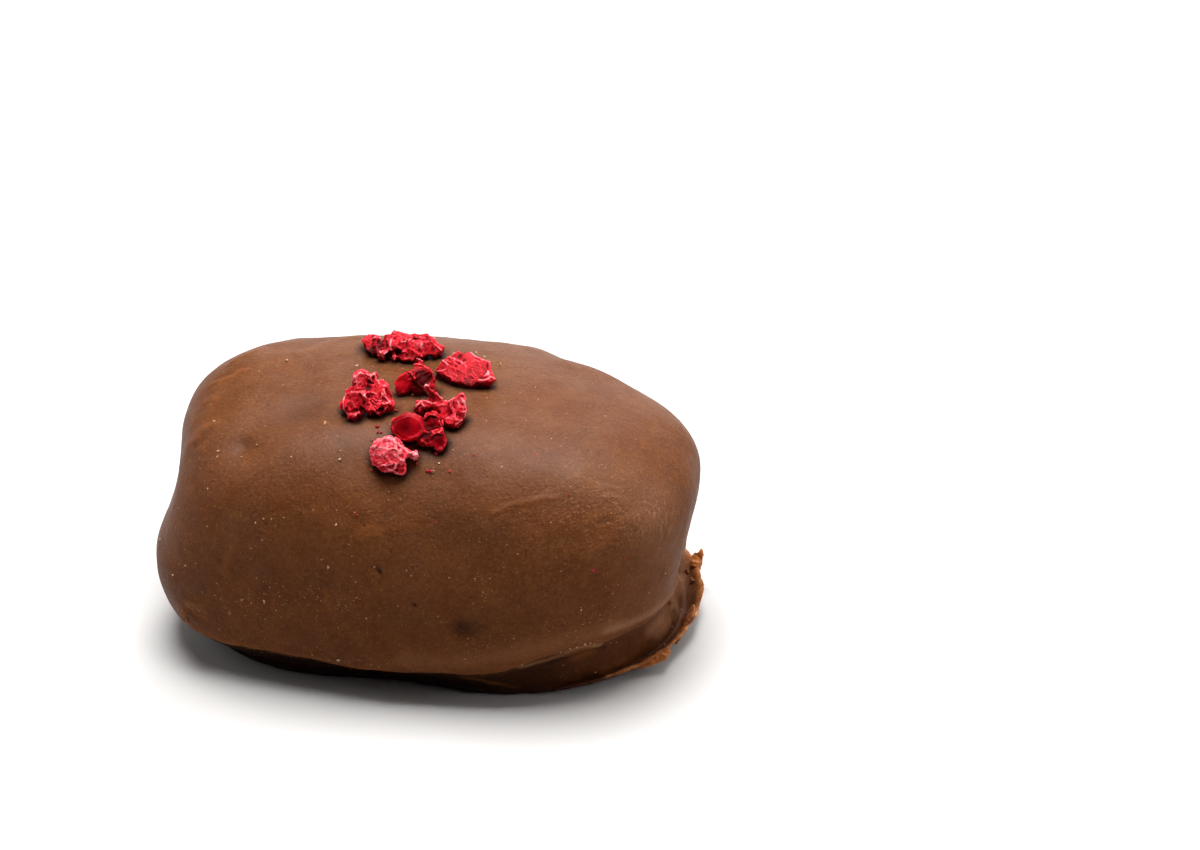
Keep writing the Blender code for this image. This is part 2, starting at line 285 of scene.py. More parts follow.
edgeWear = {  # waves along the edges: height, length and seed
    "lip": [(0.10, 2.2, 3.1), (0.05, 0.7, 8.4)],
    "lipHeight": [(0.12, 3.0, 5.7)],
    "foot": [(0.24, 2.0, 1.3), (0.12, 0.6, 6.2)],
}
relief = {  # centre, reach along each axis, and height
    "back left shoulder": ((-18.0, 4.5, 17.0), (6.0, 6.0, 6.0), 1.3),
    "front left shoulder": ((-19.0, -6.5, 7.5), (6.0, 8.0, 7.0), 2.3),
    "notch in the left end": ((-21.7, -3.0, 13.8), (4.0, 4.0, 3.5), -1.3),
    "back right corner": ((17.0, 11.5, 19.5), (8.0, 8.0, 7.0), -0.95),
    "tuck in the right end": ((22.0, 1.5, 9.0), (6.0, 9.0, 4.0), -0.8),
    "dip in the back edge": ((11.0, 13.7, 20.6), (3.2, 4.0, 5.0), -0.9),
    "rise of the back edge": ((9.0, 14.0, 21.5), (3.5, 4.0, 4.0), 0.4),
    "ridge before the dip": ((12.0, 7.5, 21.5), (3.5, 1.6, 2.0), 0.35),
    "dimple on the top left": ((-14.7, -7.7, 20.5), (2.2, 2.0, 2.0), -0.5),
    "cleft, left part": ((-10.5, -4.8, 22.5), (4.5, 2.5, 3.0), -0.4),
    "cleft, middle": ((-1.0, -3.0, 22.9), (7.0, 2.5, 3.0), -0.3),
    "cleft, right part": ((8.5, -1.5, 22.4), (4.5, 2.2, 3.0), -0.35),
    "dimple in the front": ((4.9, -14.3, 8.6), (1.5, 2.0, 1.3), -0.5),
}


def ease(share):
    return share * share * (3 - 2 * share)


def rising(values, length):
    # 0 at 0 and 1 from this length on, eased
    return ease(np.clip(values / length, 0, 1))


def fading(gaps, width):
    # 1 at no gap, falling off over the width
    return np.exp(-((gaps / width) ** 2))


def around(sizes, turns):
    # sizes at plan angles, in degrees, eased between the angles that they are given for
    keys = sorted(sizes)
    values = np.zeros_like(turns)
    for before, after in zip(keys, keys[1:] + keys[:1]):
        share = np.round(turns - before, 6) % 360 / ((after - before) % 360)
        inside = share < 1
        values[inside] = sizes[before] + (sizes[after] - sizes[before]) * ease(share[inside])
    return values


def planRadius(turns):
    angles = np.radians(turns)
    along = np.abs(np.cos(angles)) / coatShape["halfLength"]
    across = np.abs(np.sin(angles)) / coatShape["halfWidth"]
    power = coatShape["planPower"]
    return (along**power + across**power) ** (-1 / power)


def noiseAt(points, size, seed=0.0):
    shifted = (np.asarray(points) / size + seed).tolist()
    return np.array([noise.noise(point) for point in shifted])


def waves(points, layers, values=0.0):
    # adds noise of each layer's height, length and seed
    for height, length, seed in layers:
        values = values + height * noiseAt(points, length, seed)
    return values


def worn(values, turns, layers):
    # adds waves that run along the date's edge
    angles = np.radians(turns)
    radius = coatShape["ringRadius"]
    points = np.stack([radius * np.cos(angles), radius * np.sin(angles), 0 * angles], axis=1)
    return waves(points, layers, values)


def rounded(stations):
    # the line through the stations with its corners cut
    smooth = [stations[0]]
    for index in range(1, len(stations)):
        smooth.append((stations[index - 1] + stations[index]) / 2)
        if index < len(stations) - 1:
            smooth.append((stations[index - 1] + 6 * stations[index] + stations[index + 1]) / 8)
    smooth.append(stations[-1])
    return smooth


def stepsAlong(line, shares):
    # points of a line at these shares of its length
    lengths = np.concatenate([[0.0], np.cumsum(np.linalg.norm(np.diff(line, axis=0), axis=1))])
    wanted = np.asarray(shares) * lengths[-1]
    return np.stack([np.interp(wanted, lengths, line[:, axis]) for axis in range(2)], axis=1)


def footLine(turns, lip, lipZ, floor):
    # (radius, height) from the middle of the flat, round the foot's edge and up to the lip
    curl = around(footCurl, turns)
    curled = curl / max(footCurl.values())
    ragged = worn(0 * turns, turns, edgeWear["foot"])
    flat = 0 * turns
    stations = [(flat, flat), (0.5 * floor, flat)]
    for inwards in coatShape["flatEdge"]:
        stations.append((floor - inwards, flat))
    plain, narrower = coatShape["plainFoot"]
    for index, ((reach, height), (moreReach, moreHeight)) in enumerate(footEdge):
        if index > 1:  # where the foot doesn't curl, its wall comes straight down
            reach = reach * curled + (plain - narrower * index) * (1 - curled)
        out = floor + reach + moreReach * curl + ragged * (index in (1, 2))
        stations.append((out, height + moreHeight * curl))
    groove, grooveZ = stations[-1]
    footShare, lipShare = coatShape["grooveShares"]
    inwards, down = coatShape["lipUnder"]
    stations.append((footShare * groove + lipShare * lip, 0.5 * (grooveZ + lipZ) - coatShape["grooveDrop"]))
    stations.append((lip - inwards, lipZ - down))
    stations.append((lip, lipZ))
    return np.array(rounded([np.stack(station, axis=1) for station in stations]))


def coatLine(turns, lip, lipZ, widest):
    # (radius, height) from the lip out to the widest row and over to the crown
    quarter = np.linspace(0, math.pi / 2, coatShape["arcPoints"])[:, None]
    widestZ = around(widestHeight, turns)
    power = 2 / around(shoulderPower, turns)
    below = np.stack([
        lip + (widest - lip) * np.sin(quarter),
        lipZ + (widestZ - lipZ) * (1 - np.cos(quarter)),
    ], axis=2)
    above = np.stack([
        widest * np.maximum(0, np.cos(quarter)) ** power,
        widestZ + (coatShape["crownHeight"] - widestZ) * np.sin(quarter) ** power,
    ], axis=2)
    return np.concatenate([below, above[1:]])


def coatSections(turns):
    # (radius, height) of every row at every column
    widest = planRadius(turns)
    lip = worn(widest - around(lipInset, turns), turns, edgeWear["lip"])
    lipZ = worn(around(lipHeight, turns), turns, edgeWear["lipHeight"])
    foot = footLine(turns, lip, lipZ, widest - around(footInset, turns))
    coat = coatLine(turns, lip, lipZ, widest)
    half = coatShape["segments"] // 2
    flatRings, wallRows = coatShape["undersideRings"], coatShape["wallRows"]
    legs = [  # each leg's line and its rows
        (foot[:6], flatRings),
        (foot[5:-5], half - flatRings),
        (foot[-6:], wallRows),
        (coat, 3 * half - wallRows),
    ]
    rows = []
    for points, count in legs:
        shares = np.arange(count) / count
        columns = [stepsAlong(points[:, column], shares) for column in range(len(turns))]
        rows.append(np.stack(columns, axis=1))
    rows.append(coat[-1:])
    sections = np.concatenate(rows)
    for step, depth in enumerate(coatShape["undercut"]):
        sections[half + wallRows - 1 - step, :, 0] -= depth
    return sections


def edgeNearness(sections):
    # 1 at the tip of the foot's edge, falling off over the given width
    foot = sections[:coatShape["segments"] // 2 + coatShape["wallRows"]]
    tips = foot[foot[:, :, 0].argmax(axis=0), np.arange(foot.shape[1])]
    return fading(np.linalg.norm(sections - tips, axis=2), coatShape["edgeWidth"])


def columnTurn(shares):
    # plan angles whose steps are about even along the edge
    angles = shares * 2 * math.pi
    squash = math.sqrt(coatShape["halfWidth"] / coatShape["halfLength"])
    return np.degrees(np.arctan2(squash * np.sin(angles), np.cos(angles)))


def shapeCoat(corners):
    # moves a cube's grid, from -1 to 1, onto the coat's sections
    half = coatShape["segments"] // 2
    columns = 8 * half
    sections = coatSections(columnTurn(np.arange(columns) / columns))
    x, y, z = corners.T
    reach = np.maximum(np.abs(x), np.abs(y))
    almost, tiny = 0.999, 1e-6
    row = np.where(z < -almost, half * reach, half * (2 + z))
    row = np.where(z > almost, half * (4 - reach), row)
    row = np.rint(row).astype(int)
    safe = np.maximum(reach, tiny)
    share = np.where(
        np.abs(x) >= np.abs(y),
        np.where(x > 0, y / safe / 8, 0.5 - y / safe / 8),
        np.where(y > 0, 0.25 - x / safe / 8, 0.75 + x / safe / 8),
    ) % 1
    column = share * columns
    left = np.floor(column).astype(int) % columns
    part = (column - np.floor(column))[:, None]
    radiusHeight = sections[row, left] * (1 - part) + sections[row, (left + 1) % columns] * part
    angle = np.radians(columnTurn(share))
    radius = np.where(reach < tiny, 0, radiusHeight[:, 0])
    curled = around(footCurl, np.degrees(angle)) / max(footCurl.values())
    plain = coatShape["plainEdge"]
    points = np.stack([radius * np.cos(angle), radius * np.sin(angle), radiusHeight[:, 1]], axis=1)
    return points, row, edgeNearness(sections)[row, left] * (plain + (1 - plain) * curled)


def reliefAt(points):
    height = np.zeros(len(points))
    for centre, reach, size in relief.values():
        steps = (points - centre) / reach
        height += size * np.exp(-(steps**2).sum(axis=1))
    return height * rising(points[:, 2], coatShape["reliefFade"])


def pointsOf(mesh):
    points = np.empty(len(mesh.vertices) * 3)
    mesh.vertices.foreach_get("co", points)
    return points.reshape(-1, 3)


def normalsOf(mesh):
    mesh.update()
    normals = np.empty(len(mesh.vertices) * 3, np.float32)
    mesh.vertex_normals.foreach_get("vector", normals)
    return normals.reshape(-1, 3).astype(float)


def setPoints(mesh, points):
    mesh.vertices.foreach_set("co", points.ravel())
    mesh.update()


def setAttribute(mesh, name, values):
    layer = mesh.attributes.new(name, "FLOAT", "POINT")
    layer.data.foreach_set("value", np.asarray(values, np.float32))


def meshOf(grid, name):
    mesh = bpy.data.meshes.new(name)
    grid.to_mesh(mesh)
    grid.free()
    return mesh


def treeOf(mesh):
    grid = bmesh.new()
    grid.from_mesh(mesh)
    tree = BVHTree.FromBMesh(grid)
    grid.free()
    return tree


def linked(name, data):
    obj = bpy.data.objects.new(name, data)
    bpy.context.scene.collection.objects.link(obj)
    return obj


def newPiece(name, mesh, material):
    # from mm to metres, with its material
    setPoints(mesh, pointsOf(mesh) * mm)
    mesh.name = name
    mesh.materials.clear()
    mesh.materials.append(material)
    mesh.shade_smooth()
    return linked(name, mesh)


def makeCoatMesh():
    grid = bmesh.new()
    bmesh.ops.create_cube(grid, size=2.0)
    bmesh.ops.subdivide_edges(grid, edges=grid.edges, cuts=coatShape["segments"] - 1, use_grid_fill=True)
    mesh = meshOf(grid, "coat")
    points, row, edge = shapeCoat(pointsOf(mesh))
    setPoints(mesh, points)
    points += normalsOf(mesh) * reliefAt(points)[:, None]
    low, high = points.min(axis=0), points.max(axis=0)
    shift = np.array([-(low[0] + high[0]) / 2, -(low[1] + high[1]) / 2, -low[2]])
    setPoints(mesh, points + shift)
    # how much of the painted glow of light through the foot's thin edge each point gets
    setAttribute(mesh, "edge", edge)
    return mesh, row, shift


coatMesh, coatRow, coatShift = makeCoatMesh()
coatTree = treeOf(coatMesh)
print("coat shaped,", len(coatMesh.polygons), "faces, moved", coatShift.round(3))


# seven raspberry bits, fused to the top, in mm from each bit's seat, with heights over the coat
# grain: the way its creases run; pale: how pale it is; crumple, rough, streaks: shares of the usual
# lobes: x, y, height, and half the length, width and thickness
# shards: the corners of each broken plate; spikes: start, end and thickness
# ridges: pale creases along pixels of the photograph; smooth and net: pixel and radius
# flats: pixel, depth and reach; hollows: pixel, radius and depth, each with painted shade that grows with its
# depth; tints: pixel, radius and how much paler
raspberryBits = {
    "wideCluster": {
        "seat": (-3.9, 4.7), "grain": (0.6, -0.7, 0.4), "pale": 0.5,
        "lobes": [
            (-2.6, 1.0, 0.6, 0.75, 0.8, 0.7), (-1.9, 0.1, 0.5, 0.9, 0.9, 0.8),
            (-1.1, -0.7, 0.6, 0.55, 1.0, 0.75), (0.0, -0.8, 0.5, 0.5, 0.7, 0.7),
            (0.3, -0.1, 1.0, 1.7, 1.2, 0.9), (1.8, 0.2, 0.9, 1.5, 1.3, 1.0),
            (3.1, 0.4, 0.5, 0.75, 0.9, 0.6), (-0.5, 0.8, 1.2, 0.9, 0.7, 0.6),
            (1.0, -0.9, 0.4, 0.9, 0.7, 0.6),
        ],
        "ridges": [
            [(391, 351), (390, 345), (391, 340), (394, 336), (397, 335)],
            [(378, 343), (379, 350), (382, 356), (385, 361)],
            [
                (384, 354), (387, 352), (391, 353), (393, 357), (391, 361), (388, 363), (384, 361),
                (383, 357),
            ],
            [(402, 352), (406, 350), (411, 349), (416, 351)],
            [(411, 346), (412, 341), (415, 339), (420, 340), (423, 345), (426, 348)],
            [(371, 339), (375, 337), (380, 338), (386, 339)],
            [(429, 341), (434, 344), (438, 347), (441, 350)], [(401, 342), (406, 341), (411, 339)],
            [(395, 353), (395, 357), (394, 361)],
        ],
        "flats": [
            ((420, 345), 0.3, 1.2), ((405, 347), 0.2, 1.0), ((433, 350), 0.25, 1.0), ((378, 346), 0.2, 0.9),
        ],
        "hollows": [
            ((389, 354), 0.24, 0.35), ((387, 359), 0.2, 0.15), ((397, 352), 0.26, 0.4),
            ((398, 359), 0.16, 0.2), ((383, 336), 0.2, 0.25), ((379, 341), 0.2, 0.25),
            ((415, 338), 0.2, 0.25), ((424, 340), 0.16, 0.2), ((404, 340), 0.14, 0.12),
            ((409, 343), 0.14, 0.12), ((421, 351), 0.25, 0.15), ((428, 353), 0.25, 0.15),
            ((372, 348), 0.25, 0.2), ((407, 356), 0.2, 0.15),
        ],
        "tints": [
            ((420, 345), 0.6, 0.4), ((392, 348), 0.5, 0.25), ((413, 341), 0.4, 0.1),
            ((386, 356), 0.4, 0.15), ((378, 341), 0.9, -0.25), ((374, 350), 0.6, -0.2),
            ((391, 362), 0.4, 0.1), ((405, 347), 0.5, -0.15), ((432, 352), 0.6, -0.15),
        ],
    },
    "stripedSlab": {
        "seat": (2.5, 1.6), "crumple": 0.3, "rough": 0.8, "streaks": 1.5, "grain": (0.76, -0.65, 0.0),
        "pale": 0.47,
        "shards": [
            [
                (-2.7, -0.4, 0.7), (-2.0, 0.4, 1.5), (-1.0, 1.6, 1.7), (0.2, 1.8, 1.6), (2.0, 0.4, 1.5),
                (2.7, -1.1, 0.9), (2.0, -1.5, 0.9), (0.6, -1.7, 0.8), (-0.6, -1.6, 1.0), (-2.5, -0.4, -0.3),
                (-0.6, -1.3, -0.3), (0.6, -1.5, -0.3), (2.1, -1.2, -0.3), (1.6, 0.6, -0.3),
                (-0.6, 1.4, -0.3),
            ],
        ],
        "ridges": [
            [(450, 357), (456, 359), (461, 362), (466, 366), (474, 369)],
            [(447, 360), (452, 362), (458, 365), (462, 367)],
            [(441, 359), (446, 363), (450, 368), (454, 372)],
            [(462, 367), (467, 372), (471, 377), (475, 381)], [(465, 371), (471, 373), (476, 372)],
            [(446, 372), (452, 374), (459, 376), (466, 377)],
            [(478, 365), (482, 362), (486, 361), (489, 363), (487, 366)], [(481, 368), (486, 370)],
            [(480, 374), (485, 375), (489, 374), (488, 371)],
            [(476, 378), (481, 380), (487, 379), (491, 377), (495, 379)],
            [(435, 371), (437, 365), (441, 359)], [(453, 354), (456, 350), (461, 348), (470, 350)],
            [(471, 352), (475, 356), (480, 358), (485, 361)], [(437, 371), (442, 371), (445, 369)],
        ],
        "flats": [((465, 365), 0.12, 2.0)],
        "hollows": [
            ((451, 363), 0.13, 0.12), ((456, 365), 0.13, 0.14), ((468, 367), 0.13, 0.12),
            ((472, 369), 0.15, 0.14), ((475, 371), 0.14, 0.15), ((469, 376), 0.13, 0.14),
            ((472, 379), 0.13, 0.14), ((458, 371), 0.25, 0.14), ((463, 373), 0.22, 0.16),
            ((482, 377), 0.16, 0.14), ((485, 377), 0.16, 0.14), ((464, 359), 0.16, 0.16),
            ((460, 355), 0.18, 0.12), ((463, 352), 0.2, 0.1), ((439, 363), 0.14, 0.1),
            ((437, 370), 0.12, 0.1), ((478, 374), 0.13, 0.1),
        ],
        "tints": [
            ((488, 374), 0.5, 0.15), ((440, 366), 0.5, -0.1), ((465, 380), 0.7, -0.2),
            ((460, 352), 0.6, -0.05),
        ],
    },
    "tent": {
        "seat": (-1.3, -0.3), "grain": (0.7, 0.6, 0.4), "crumple": 0.3, "pale": 0.42,
        "lobes": [(0.1, -0.7, 0.35, 1.1, 0.6, 0.7)],
        "shards": [
            [
                (-2.1, -0.9, 0.9), (-1.9, -1.4, 0.2), (-1.4, -1.5, -0.2), (-1.0, 0.0, 1.7),
                (-0.2, -1.2, 2.0), (0.2, -1.1, 0.7), (-0.6, -1.2, -0.2), (0.3, 0.3, 1.5),
            ],
            [
                (-0.2, -1.3, 1.9), (-0.2, -0.1, 2.0), (0.9, 0.4, 1.9), (1.5, 0.2, 0.6), (1.8, -0.7, -0.2),
                (1.3, -1.2, -0.2), (0.1, -0.9, -0.2), (1.3, 0.0, 1.5),
            ],
            [
                (-0.7, 1.0, 1.9), (-0.3, 1.2, 2.2), (0.3, 1.1, 2.1), (0.7, 0.7, 1.8), (-0.4, 0.2, 1.5),
                (0.6, 0.2, 1.4), (0.1, 0.9, 1.2),
            ],
        ],
        "ridges": [
            [(405, 366), (411, 364), (418, 364), (425, 366), (428, 368)],
            [(414, 379), (417, 377), (419, 374)], [(411, 358), (416, 358), (421, 360), (425, 363)],
        ],
        "flats": [((400, 384), 0.2, 1.3), ((424, 376), 0.15, 0.8)],
        "smooth": [((400, 384), 0.55)],
        "hollows": [
            ((407, 372), 0.16, 0.2), ((416, 357), 0.14, 0.2), ((416, 361), 0.14, 0.15),
            ((414, 374), 0.35, 0.12), ((422, 371), 0.4, 0.15), ((427, 376), 0.4, 0.12),
            ((419, 384), 0.4, 0.15), ((424, 389), 0.4, 0.12), ((410, 391), 0.35, 0.08),
        ],
        "tints": [
            ((398, 385), 0.6, 0.2), ((418, 384), 0.6, -0.35), ((428, 378), 0.5, -0.25),
            ((418, 372), 0.4, -0.25), ((417, 361), 0.3, 0.1), ((405, 390), 0.4, 0.1),
        ],
    },
    "twoPeaks": {
        "seat": (-4.9, -3.9), "grain": (0.1, -0.5, 0.86), "pale": 0.55,
        "lobes": [
            (-0.5, 0.8, 2.0, 0.95, 0.8, 1.2), (0.4, 1.3, 2.0, 0.4, 0.4, 0.7),
            (0.9, 0.7, 1.4, 0.9, 0.9, 1.0), (0.8, -0.5, 0.8, 1.0, 0.9, 0.9),
            (1.7, -0.1, 0.6, 0.6, 0.7, 0.7), (-1.4, -0.5, 0.8, 0.8, 0.9, 0.9),
            (-0.8, -1.3, 0.4, 0.7, 0.6, 0.6), (-0.7, -0.2, 1.2, 1.0, 1.0, 1.0),
            (-1.15, 0.2, 1.1, 0.75, 0.8, 0.9), (1.4, 0.4, 0.9, 0.6, 0.7, 0.8),
        ],
        "ridges": [
            [
                (350, 384), (354, 378), (358, 374), (361, 372), (365, 375), (368, 380), (366, 385),
                (364, 389),
            ],
            [(354, 382), (358, 382), (363, 381)], [(356, 387), (360, 386), (363, 383)],
            [(352, 392), (354, 388)], [(370, 379), (372, 375), (375, 374), (376, 378), (378, 381)],
            [(379, 383), (382, 386), (384, 391), (385, 395)], [(383, 394), (387, 399), (390, 402)],
            [(363, 399), (365, 394), (369, 392), (374, 393), (379, 396)],
            [(380, 400), (384, 404), (388, 403)], [(352, 403), (357, 404), (360, 402)],
            [(349, 408), (354, 407), (358, 409), (359, 414)],
            [(353, 413), (354, 410), (357, 411), (356, 415)],
            [(344, 397), (343, 404), (344, 410), (347, 414)], [(361, 405), (364, 408), (367, 412)],
            [(378, 413), (383, 412), (386, 409), (391, 404)],
        ],
        "flats": [
            ((357, 381), 0.25, 1.0), ((352, 402), 0.25, 1.0), ((381, 388), 0.25, 1.0),
            ((373, 404), 0.2, 1.0),
        ],
        "hollows": [
            ((367, 396), 0.2, 0.28), ((370, 382), 0.2, 0.35), ((368, 387), 0.18, 0.3),
            ((370, 377), 0.12, 0.2), ((374, 378), 0.1, 0.15), ((346, 409), 0.12, 0.15),
            ((355, 411), 0.14, 0.2), ((362, 410), 0.25, 0.3), ((382, 401), 0.16, 0.15),
            ((390, 406), 0.2, 0.2), ((353, 396), 0.22, 0.12), ((357, 400), 0.25, 0.15),
            ((381, 410), 0.22, 0.2), ((351, 411), 0.14, 0.15),
        ],
        "net": [((373, 403), 0.75)],
        "tints": [
            ((356, 380), 0.6, 0.3), ((375, 378), 0.3, 0.25), ((384, 388), 0.5, 0.2),
            ((352, 400), 0.5, 0.15), ((373, 403), 0.7, -0.05), ((370, 392), 0.4, -0.2),
            ((362, 412), 0.5, -0.25),
        ],
    },
    "spiked": {
        "seat": (1.5, -4.2), "grain": (0.7, -0.6, 0.4), "pale": 0.55,
        "lobes": [
            (-1.8, 0.4, 0.7, 0.75, 0.6, 0.65), (-0.8, 0.3, 0.9, 0.85, 0.6, 0.8),
            (0.1, -0.1, 0.7, 0.9, 0.75, 0.95), (1.3, -0.2, 1.1, 0.75, 0.8, 1.4),
            (1.0, -0.8, 0.5, 0.7, 0.7, 0.8), (1.5, 0.1, 1.9, 0.4, 0.4, 0.6),
        ],
        "spikes": [((-0.2, 0.2, 0.7), (-1.35, 0.5, 2.8), 0.6)],
        "ridges": [
            [(425, 384), (428, 386)], [(437, 394), (441, 398), (446, 401)],
            [(416, 407), (419, 403), (424, 400), (429, 402), (432, 404), (436, 403)],
            [(422, 404), (425, 408), (427, 411)], [(438, 406), (443, 404), (448, 406)],
            [
                (449, 401), (454, 398), (458, 398), (461, 395), (463, 399), (465, 404), (466, 410),
                (465, 416),
            ],
            [(465, 416), (461, 421), (456, 424)],
            [(458, 398), (459, 403), (459, 407), (462, 411), (465, 412)], [(463, 401), (465, 407)],
        ],
        "flats": [((461, 403), 0.08, 0.7), ((443, 410), 0.15, 0.7)],
        "hollows": [
            ((460, 399), 0.14, 0.2), ((463, 404), 0.1, 0.2), ((461, 409), 0.14, 0.2),
            ((420, 407), 0.14, 0.2), ((437, 413), 0.2, 0.25), ((449, 413), 0.25, 0.2),
        ],
        "smooth": [((443, 410), 0.5)],
        "tints": [
            ((430, 391), 0.4, -0.4), ((434, 398), 0.4, -0.35), ((462, 402), 0.5, 0.35),
            ((444, 408), 0.4, 0.15), ((426, 402), 0.4, 0.1), ((452, 418), 0.6, 0.1),
            ((430, 410), 0.5, -0.15),
        ],
    },
    "smoothDrupelet": {
        "seat": (0.7, -6.7), "grain": (0.5, -0.8, 0.3), "crumple": 0.45, "pale": 0.33,
        "lobes": [
            (-1.6, 0.2, 1.0, 1.5, 1.3, 1.25), (0.3, 1.0, 1.0, 0.8, 0.7, 0.9),
            (0.7, -0.2, 0.7, 0.95, 0.9, 0.9), (1.1, -0.5, 0.35, 0.6, 0.7, 0.7),
            (-0.2, -0.3, 0.5, 0.7, 0.6, 0.6),
        ],
        "ridges": [
            [(392, 421), (395, 416), (401, 412), (408, 410), (416, 411), (422, 413), (426, 414)],
            [(392, 427), (394, 433), (398, 437), (404, 440), (411, 439), (417, 436), (422, 431)],
            [(424, 415), (426, 418)], [(429, 423), (432, 421), (435, 419)],
            [(428, 419), (430, 416), (434, 415)], [(437, 417), (439, 421), (441, 426)],
            [(443, 420), (443, 426), (441, 431), (437, 434)], [(431, 430), (434, 434), (439, 435)],
            [
                (432, 438), (437, 437), (442, 438), (446, 441), (445, 446), (441, 449), (436, 447),
                (433, 442),
            ],
            [(417, 437), (421, 434), (425, 431)], [(421, 440), (425, 443), (428, 447)],
        ],
        "flats": [((408, 425), 0.4, 1.8), ((439, 443), 0.2, 0.8), ((432, 425), 0.2, 0.8)],
        "hollows": [
            ((427, 434), 0.26, 0.45), ((432, 429), 0.1, 0.15), ((440, 428), 0.12, 0.2),
            ((439, 442), 0.3, 0.08), ((424, 444), 0.18, 0.12),
        ],
        "smooth": [((408, 425), 1.15), ((439, 443), 0.4)],
        "tints": [
            ((403, 426), 1.0, -0.22), ((416, 420), 0.4, 0.1), ((408, 410), 0.35, 0.25),
            ((424, 418), 0.35, 0.2), ((427, 434), 0.5, -0.3), ((440, 440), 0.5, -0.1),
            ((396, 437), 0.5, 0.05),
        ],
    },
    "paleRound": {
        "seat": (-1.1, -8.9), "grain": (0.7, -0.6, 0.4), "pale": 0.78,
        "lobes": [
            (-1.1, -0.1, 1.2, 1.5, 1.3, 1.6), (0.9, 0.3, 0.9, 0.5, 0.5, 0.45),
            (0.3, 0.3, 0.9, 0.7, 0.6, 0.55), (-0.2, -0.4, 0.5, 0.65, 0.6, 0.6),
        ],
        "ridges": [
            [(383, 442), (388, 445), (393, 447), (397, 449)],
            [(381, 446), (385, 450), (389, 454), (395, 456), (403, 453)],
            [(394, 439), (396, 444), (398, 450), (399, 455), (396, 462), (395, 468)],
            [(384, 440), (388, 437), (394, 438)], [(380, 458), (385, 457), (391, 457)],
            [(372, 447), (375, 445), (380, 446)], [(376, 452), (378, 457), (377, 462)],
            [(382, 465), (387, 466), (392, 464)],
            [(410, 453), (413, 451), (417, 453), (417, 457), (414, 459), (411, 458)],
            [(401, 460), (406, 461), (412, 461)], [(400, 446), (404, 448), (408, 452)],
            [(388, 469), (393, 471), (397, 473)],
        ],
        "flats": [((389, 447), 0.25, 1.1), ((379, 457), 0.25, 0.9), ((394, 460), 0.25, 0.9)],
        "hollows": [
            ((399, 466), 0.14, 0.35), ((411, 456), 0.1, 0.15), ((391, 462), 0.12, 0.12),
            ((374, 456), 0.25, 0.08), ((383, 464), 0.14, 0.12), ((381, 457), 0.12, 0.1),
            ((387, 441), 0.18, 0.06), ((393, 445), 0.12, 0.06), ((402, 471), 0.2, 0.12),
        ],
        "tints": [
            ((392, 448), 1.0, 0.12), ((415, 456), 0.4, 0.2), ((401, 468), 0.4, -0.3),
            ((376, 462), 0.6, -0.15), ((384, 470), 0.5, -0.1),
        ],
    },
}
bitMaking = {
    "voxel": 0.07,
    "crumple": 0.28,  # much like the crumple of the CAD solid, before the finer wrinkles
    "crumpleSize": 0.9,
    "calmRounds": 30,  # of smoothing where a bit is smooth
    "grainPull": 0.75,  # how much the cells and wrinkles are drawn out along a bit's grain
    "cells": [(0.95, 0.11, 0.0), (0.42, 0.03, 7.3)],  # size, depth and seed of the sunken cells
    "cellSeed": 5,  # of their warp
    "cellWarp": (0.35, 0.9),  # how far and how finely
    "cellWall": 0.5,  # share of a cell's size over which it sinks
    "wrinkles": [(0.5, 0.035, 5.0), (0.2, 0.018, 8.1)],  # size, height and seed of the sharp creases
    "wrinkleShape": (0.4, 3.0),  # reach and sharpness
    "calm": (0.93, 0.95),  # how much of the cells and of the wrinkles goes where a bit is smooth
    "facet": (0.8, 0.93),  # how much a flat facet turns to the camera, and the share that it cuts off
    "spikeTip": 0.35,  # a spike's thickness at its tip, as a share
    "streaks": {"size": 0.42, "width": 0.09, "height": 0.03, "pull": 0.9, "seed": 9.0},
    "net": {"size": 0.16, "depth": 0.16, "seed": 2.0},
    "ridgeWidth": 0.085,
    "ridgeHeight": 0.10,
    "smoothSink": 0.1,
    # tints: seat is painted shade where a bit meets the coat
    "tints": {"all": -0.04, "ridge": 0.28, "streak": 0.16, "seat": -0.6},
    # darkHollow: depth at which a hollow's painted shade is darkest
    "darkHollow": 0.45,  # depth at which a hollow is darkest
    "seatShade": 0.45,  # reach of the shade near the coat
    "bulges": [(5, 0.032), (24, 0.06)],  # rounds of smoothing that a bulge is set against, and its unit
}


def overCoat(seat, x, y, height):
    # the point this high over the coat; the seats are measured before the coat is moved
    start = Vector((seat[0] + x + coatShift[0], seat[1] + y + coatShift[1], coatShape["overhead"]))
    hit = coatTree.ray_cast(start, Vector((0.0, 0.0, -1.0)))[0]
    return hit + Vector((0.0, 0.0, height))


def addLobe(grid, seat, lobe):
    x, y, height, *halves = lobe
    matrix = Matrix.Translation(overCoat(seat, x, y, height)) @ Matrix.Diagonal(halves + [1.0])
    bmesh.ops.create_icosphere(grid, subdivisions=4, radius=1.0, matrix=matrix)


def addShard(grid, seat, corners):
    verts = [grid.verts.new(overCoat(seat, *corner)) for corner in corners]
    hull = bmesh.ops.convex_hull(grid, input=verts)
    inside = [item for item in hull["geom_interior"] if isinstance(item, bmesh.types.BMVert)]
    bmesh.ops.delete(grid, geom=inside, context="VERTS")


def addSpike(grid, seat, start, end, thickness):
    base, tip = overCoat(seat, *start), overCoat(seat, *end)
    turn = Vector((0.0, 0.0, 1.0)).rotation_difference(tip - base).to_matrix().to_4x4()
    matrix = Matrix.Translation((base + tip) / 2) @ turn
    bmesh.ops.create_cone(grid, cap_ends=True, segments=16, radius1=thickness,
                          radius2=bitMaking["spikeTip"] * thickness, depth=(tip - base).length, matrix=matrix)


def evaluatedMesh(obj):
    # the mesh that the object's modifiers make; the object goes
    graph = bpy.context.evaluated_depsgraph_get()
    mesh = bpy.data.meshes.new_from_object(obj.evaluated_get(graph))
    bpy.data.objects.remove(obj)
    return mesh


